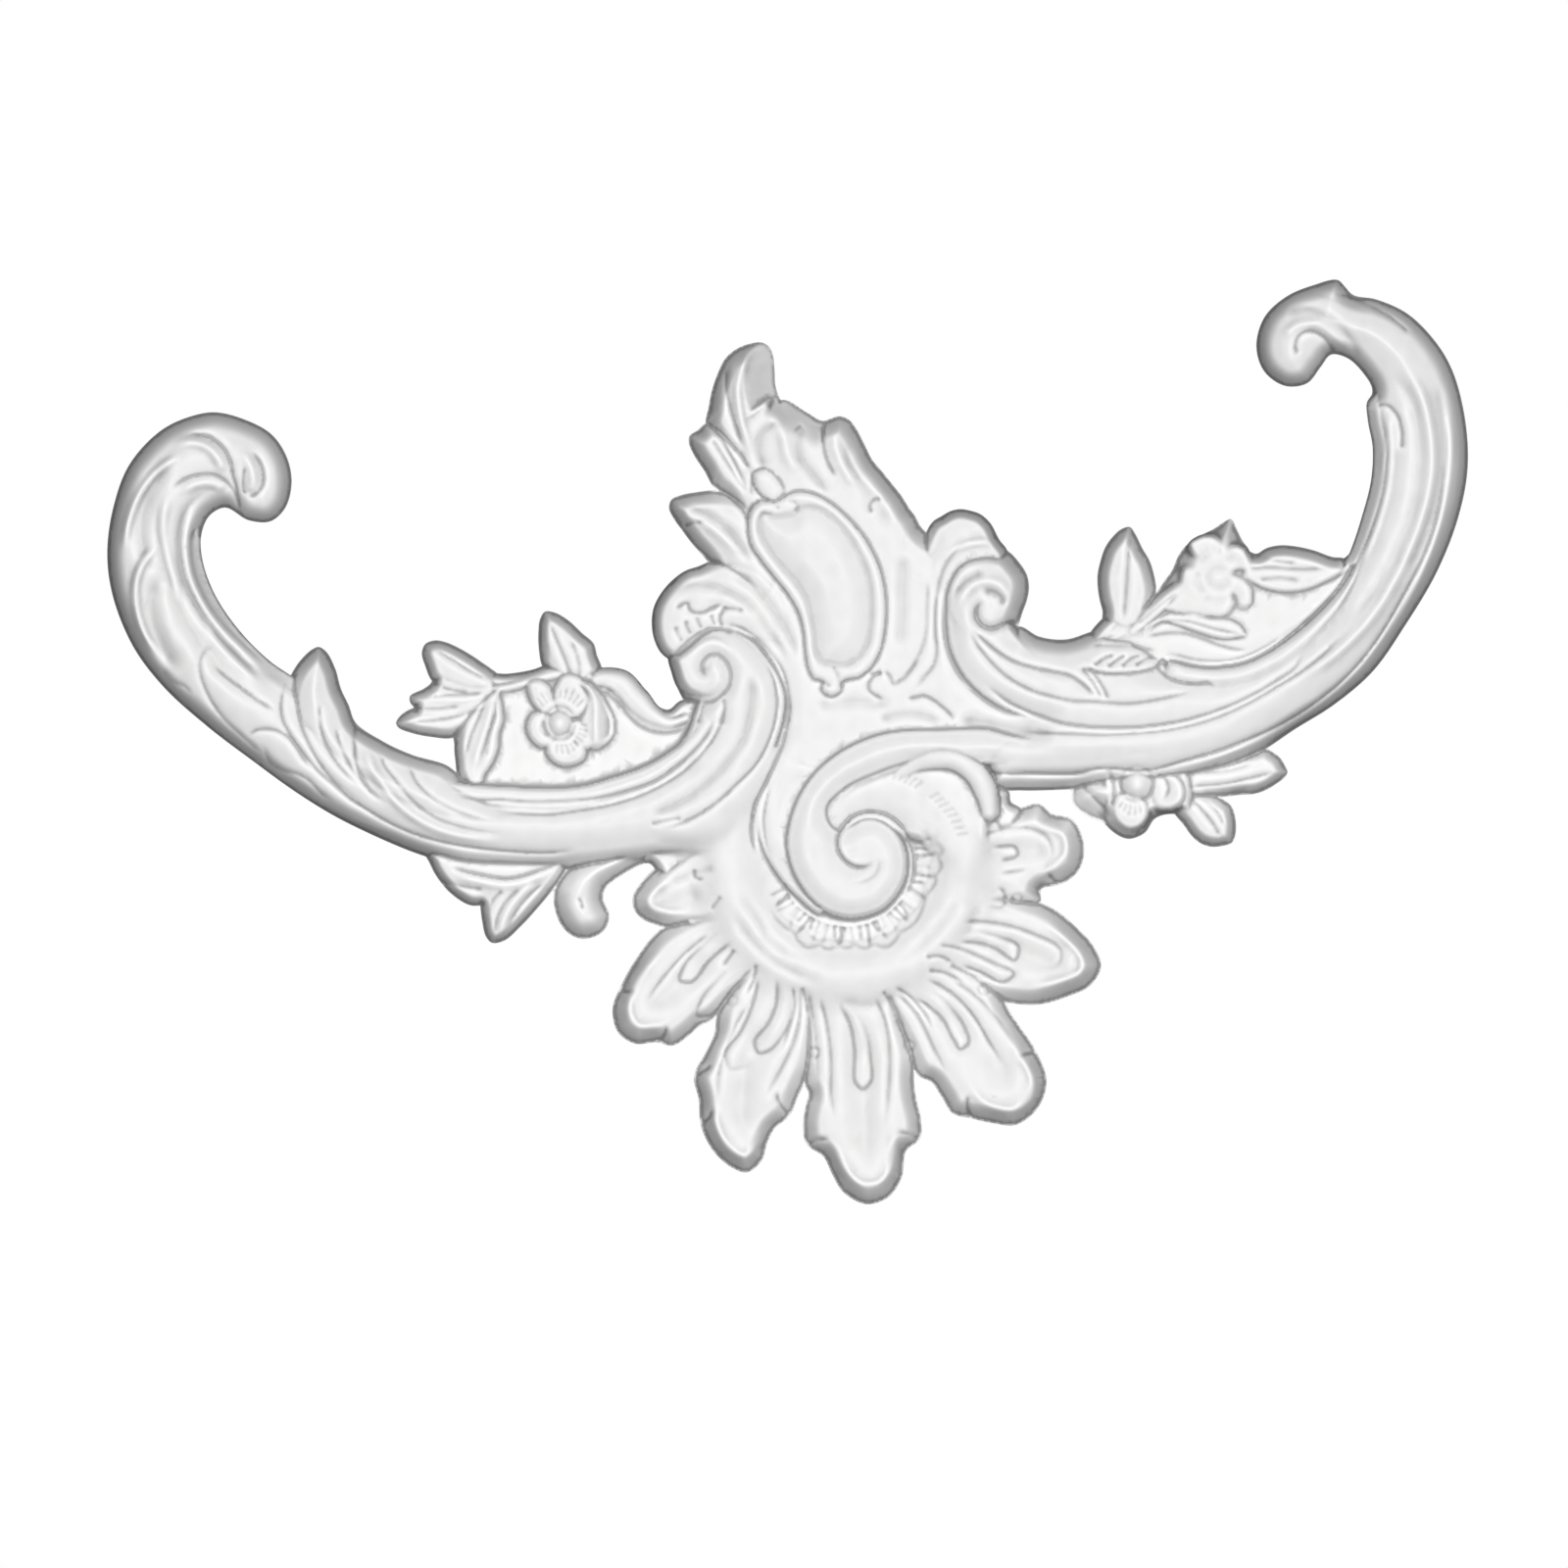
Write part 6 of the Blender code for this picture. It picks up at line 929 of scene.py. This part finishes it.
def outline_mesh(r):
    """Points and faces of the carved face, trimmed to its outline; x, z and height in millimetres."""
    s = r.inside.copy()
    h = r.height
    rows, cols = s.shape
    gx, gz = np.meshgrid(r.x, r.z)
    # grid points close to the outline move onto it, so no sliver is left
    near = np.abs(s) < SNAP_SHARE * r.step
    sz, sx = np.gradient(s, r.step)
    size = np.maximum(sx ** 2 + sz ** 2, 0.25)
    gx = np.where(near, gx - s * sx / size, gx)
    gz = np.where(near, gz - s * sz / size, gz)
    s[near] = 0.0
    index = -np.ones(s.shape, dtype=int)
    points = []

    def add(x, z, y):
        points.append((x, z, y))
        return len(points) - 1

    corner = ((0, 0), (0, 1), (1, 1), (1, 0))
    sign = np.sign(s).astype(int)
    block = np.stack([sign[a:rows - 1 + a, b:cols - 1 + b] for a, b in corner])
    full = (block >= 0).all(axis=0) & (block > 0).any(axis=0)
    part = (block > 0).any(axis=0) & ~full
    cuts = {}
    faces = []

    def node(i, j):
        if index[i, j] < 0:
            index[i, j] = add(gx[i, j], gz[i, j], LIP if sign[i, j] == 0 else h[i, j])
        return index[i, j]

    def cut(p, q):
        key = (min(p, q), max(p, q))
        if key not in cuts:
            f = s[p] / (s[p] - s[q])
            cuts[key] = add(gx[p] + f * (gx[q] - gx[p]), gz[p] + f * (gz[q] - gz[p]), LIP)
        return cuts[key]

    for i, j in zip(*np.nonzero(full)):
        a, b, c, d = (node(i + di, j + dj) for di, dj in corner)
        if abs(points[a][2] - points[c][2]) <= abs(points[b][2] - points[d][2]):
            faces += [(a, b, c), (a, c, d)]
        else:
            faces += [(a, b, d), (b, c, d)]
    for i, j in zip(*np.nonzero(part)):
        ring = []
        for k in range(4):
            p = (i + corner[k][0], j + corner[k][1])
            q = (i + corner[(k + 1) % 4][0], j + corner[(k + 1) % 4][1])
            if sign[p] >= 0:
                ring.append(node(*p))
            if sign[p] * sign[q] < 0:
                ring.append(cut(p, q))
        for k in range(1, len(ring) - 1):
            faces.append((ring[0], ring[k], ring[k + 1]))
    return np.array(points), faces


def face_sheet(relief):
    """The carved face as a fine sheet with its plain stretches thinned."""
    points, faces = outline_mesh(relief)
    place = np.column_stack([points[:, 0], -points[:, 2] * THINNING_DEPTH, points[:, 1]]) * MM
    mesh = bpy.data.meshes.new("carved_face")
    mesh.from_pydata(place.tolist(), [], faces)
    sheet = bpy.data.objects.new("carved_face", mesh)
    bpy.context.scene.collection.objects.link(sheet)
    thin = sheet.modifiers.new("thin", "DECIMATE")
    thin.ratio = min(1.0, FACE_TRIANGLES / len(faces))
    bpy.context.view_layer.update()
    shaped = sheet.evaluated_get(bpy.context.evaluated_depsgraph_get())
    bm = bmesh.new()
    bm.from_mesh(shaped.to_mesh())
    shaped.to_mesh_clear()
    bpy.data.objects.remove(sheet)
    for v in bm.verts:
        v.co.y /= THINNING_DEPTH
    settle_folds(bm)
    return bm


def settle_folds(bm):
    """Move the inner points of any face that turned over to the middle of their neighbours."""
    for _ in range(12):
        bm.normal_update()
        turned = [f for f in bm.faces if f.normal.y > FOLD_LIMIT]
        moved = {v for f in turned for v in f.verts if not v.is_boundary}
        if not moved:
            return
        for v in sorted(moved, key=lambda v: v.index):
            ring = [e.other_vert(v).co for e in v.link_edges]
            v.co = sum(ring, ring[0] * 0.0) / len(ring)


def close_behind(bm):
    """Level the rim, drop a short straight edge from it to the wall and close the flat back."""
    rim = [v for v in bm.verts if v.is_boundary]
    for v in rim:
        v.co.y = -LIP * MM
    edges = [e for e in bm.edges if e.is_boundary]
    drop = bmesh.ops.extrude_edge_only(bm, edges=edges)["geom"]
    for v in drop:
        if isinstance(v, bmesh.types.BMVert):
            v.co.y = 0.0
    foot = [e for e in bm.edges if e.is_boundary]
    bmesh.ops.contextual_create(bm, geom=foot)
    bmesh.ops.triangulate(bm, faces=[f for f in bm.faces if len(f.verts) > 3])
    bmesh.ops.recalc_face_normals(bm, faces=bm.faces)


def curvature(relief):
    """How far the face stands above, or below, the average of its surroundings."""
    near = relief.height.copy()
    for _ in range(max(1, round(0.8 * (1.5 / relief.step) ** 2))):
        for axis in (0, 1):
            near = (2 * near + np.roll(near, 1, axis) + np.roll(near, -1, axis)) / 4
    return relief.height - near


def note_painted_light(mesh, relief):
    """Store on each point how much painted shade darkens it in a crease and how much painted highlight
    lightens it on an edge.
    """
    bend = curvature(relief)
    place = np.empty(3 * len(mesh.vertices))
    mesh.vertices.foreach_get("co", place)
    x, y, z = place.reshape(-1, 3).T / MM
    cols = np.clip(np.rint((x - relief.x[0]) / relief.step).astype(int), 0, len(relief.x) - 1)
    rows = np.clip(np.rint((z - relief.z[0]) / relief.step).astype(int), 0, len(relief.z) - 1)
    value = np.where(y < -CARVING_FLOOR, bend[rows, cols], 0.0)
    for name, amount in (("edge", value / FULL_EDGE_BEND), ("crease", -value / FULL_CREASE_BEND)):
        mesh.attributes.new(name, "FLOAT", "POINT").data.foreach_set("value", np.clip(amount, 0.0, 1.0))


def waver(relief):
    """Slight unevenness of the cast face: slow ripples in several directions."""
    x, z = np.meshgrid(relief.x, relief.z)
    inland = np.clip(relief.inside / 8.0, 0.0, 1.0)
    for k in range(RIPPLES):
        a = 2.4 * k
        reach = RIPPLE_LENGTH * (1.0 + 0.15 * k)
        wave = np.sin(2 * np.pi * (x * np.cos(a) + z * np.sin(a)) / reach + a)
        relief.height += RIPPLE_RISE * inland * wave


def build_applique():
    relief = build(GRID_STEP)
    waver(relief)
    bm = face_sheet(relief)
    close_behind(bm)
    mesh = bpy.data.meshes.new("applique")
    bm.to_mesh(mesh)
    bm.free()
    note_painted_light(mesh, relief)
    mesh.materials.append(primed_white())
    mesh.shade_smooth()
    mesh.set_sharp_from_angle(angle=SHARP_ANGLE)
    piece = bpy.data.objects.new("applique", mesh)
    bpy.context.scene.collection.objects.link(piece)
    return piece


def link(tree, source, output, target, name):
    tree.links.new(source.outputs[output], target.inputs[name])


def blend(tree, attribute, share, colour):
    """Mix node that goes to a colour by a share of a stored amount."""
    amount = tree.nodes.new("ShaderNodeAttribute")
    amount.attribute_name = attribute
    scale = tree.nodes.new("ShaderNodeMapRange")
    scale.inputs["To Max"].default_value = share
    link(tree, amount, "Fac", scale, "Value")
    mix = tree.nodes.new("ShaderNodeMix")
    mix.data_type = "RGBA"
    mix.inputs["B"].default_value = colour
    link(tree, scale, "Result", mix, "Factor")
    return mix


def primed_white():
    """Satin white primer over fine-celled cast foam: faint mottling and a very fine tooth."""
    material = bpy.data.materials.new("white_primed_foam")
    material.use_nodes = True
    tree = material.node_tree
    shader = tree.nodes["Principled BSDF"]
    shader.inputs["Metallic"].default_value = 0.0
    shader.inputs["Specular IOR Level"].default_value = 0.3
    place = tree.nodes.new("ShaderNodeTexCoord")
    cloud = tree.nodes.new("ShaderNodeTexNoise")
    cloud.inputs["Scale"].default_value = MOTTLE_SCALE
    cloud.inputs["Detail"].default_value = 3.0
    tint = tree.nodes.new("ShaderNodeValToRGB")
    tint.color_ramp.elements[0].position = 0.3
    tint.color_ramp.elements[0].color = PRIMER_DARK
    tint.color_ramp.elements[1].position = 0.7
    tint.color_ramp.elements[1].color = PRIMER_LIGHT
    link(tree, place, "Object", cloud, "Vector")
    link(tree, cloud, "Fac", tint, "Fac")
    # painted highlight on the edges and painted shade in the creases, mixed into the primer colour by how
    # much the face bends there
    painted_highlight = blend(tree, "edge", 0.75, PAINTED_EDGE_HIGHLIGHT)
    painted_shade = blend(tree, "crease", 1.0, PAINTED_CREASE_SHADE)
    link(tree, tint, "Color", painted_highlight, "A")
    link(tree, painted_highlight, "Result", painted_shade, "A")
    link(tree, painted_shade, "Result", shader, "Base Color")
    sheen = tree.nodes.new("ShaderNodeMapRange")
    sheen.inputs["To Min"].default_value = ROUGHNESS[0]
    sheen.inputs["To Max"].default_value = ROUGHNESS[1]
    link(tree, cloud, "Fac", sheen, "Value")
    link(tree, sheen, "Result", shader, "Roughness")
    grain = tree.nodes.new("ShaderNodeTexNoise")
    grain.inputs["Scale"].default_value = TOOTH_SCALE
    grain.inputs["Detail"].default_value = 4.0
    link(tree, place, "Object", grain, "Vector")
    bump = tree.nodes.new("ShaderNodeBump")
    bump.inputs["Strength"].default_value = TOOTH_STRENGTH
    bump.inputs["Distance"].default_value = TOOTH_HEIGHT
    link(tree, grain, "Fac", bump, "Height")
    link(tree, bump, "Normal", shader, "Normal")
    return material


def pale_floor():
    bpy.ops.mesh.primitive_plane_add(size=FLOOR_SIZE, location=(0.0, 0.0, FLOOR_LEVEL))
    floor = bpy.context.object
    floor.name = "floor"
    material = bpy.data.materials.new("pale_floor")
    material.use_nodes = True
    shader = material.node_tree.nodes["Principled BSDF"]
    shader.inputs["Base Color"].default_value = FLOOR_GREY
    shader.inputs["Roughness"].default_value = 0.9
    floor.data.materials.append(material)


def studio():
    """White room seen by the camera, soft light from the front and a weak fill."""
    scene = bpy.context.scene
    world = bpy.data.worlds.new("studio")
    scene.world = world
    world.use_nodes = True
    tree = world.node_tree
    tree.nodes.clear()
    seen = tree.nodes.new("ShaderNodeBackground")
    seen.inputs["Color"].default_value = WHITE
    seen.inputs["Strength"].default_value = 1.0
    fill = tree.nodes.new("ShaderNodeBackground")
    fill.inputs["Color"].default_value = WHITE
    fill.inputs["Strength"].default_value = FILL
    path = tree.nodes.new("ShaderNodeLightPath")
    mix = tree.nodes.new("ShaderNodeMixShader")
    out = tree.nodes.new("ShaderNodeOutputWorld")
    tree.links.new(path.outputs["Is Camera Ray"], mix.inputs["Fac"])
    tree.links.new(fill.outputs[0], mix.inputs[1])
    tree.links.new(seen.outputs[0], mix.inputs[2])
    tree.links.new(mix.outputs[0], out.inputs["Surface"])
    sun = bpy.data.lights.new("front light", "SUN")
    sun.energy = FRONT_LIGHT
    sun.angle = FRONT_LIGHT_SPREAD
    lamp = bpy.data.objects.new("front light", sun)
    lamp.rotation_euler = (np.radians(90 - FRONT_LIGHT_DROP), 0.0, np.radians(FRONT_LIGHT_TURN))
    scene.collection.objects.link(lamp)
    scene.view_settings.view_transform = "Standard"


def camera():
    """Straight in front, level, the photo's frame of 0.8 m across."""
    data = bpy.data.cameras.new("camera")
    data.type = "ORTHO"
    data.ortho_scale = FRAME_WIDTH
    eye = bpy.data.objects.new("camera", data)
    eye.location = (0.0, -CAMERA_DISTANCE, 0.0)
    eye.rotation_euler = (np.radians(90), 0.0, 0.0)
    bpy.context.scene.collection.objects.link(eye)
    bpy.context.scene.camera = eye


applique = build_applique()
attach(applique, "root")
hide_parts("rococo_applique")
pale_floor()
studio()
camera()
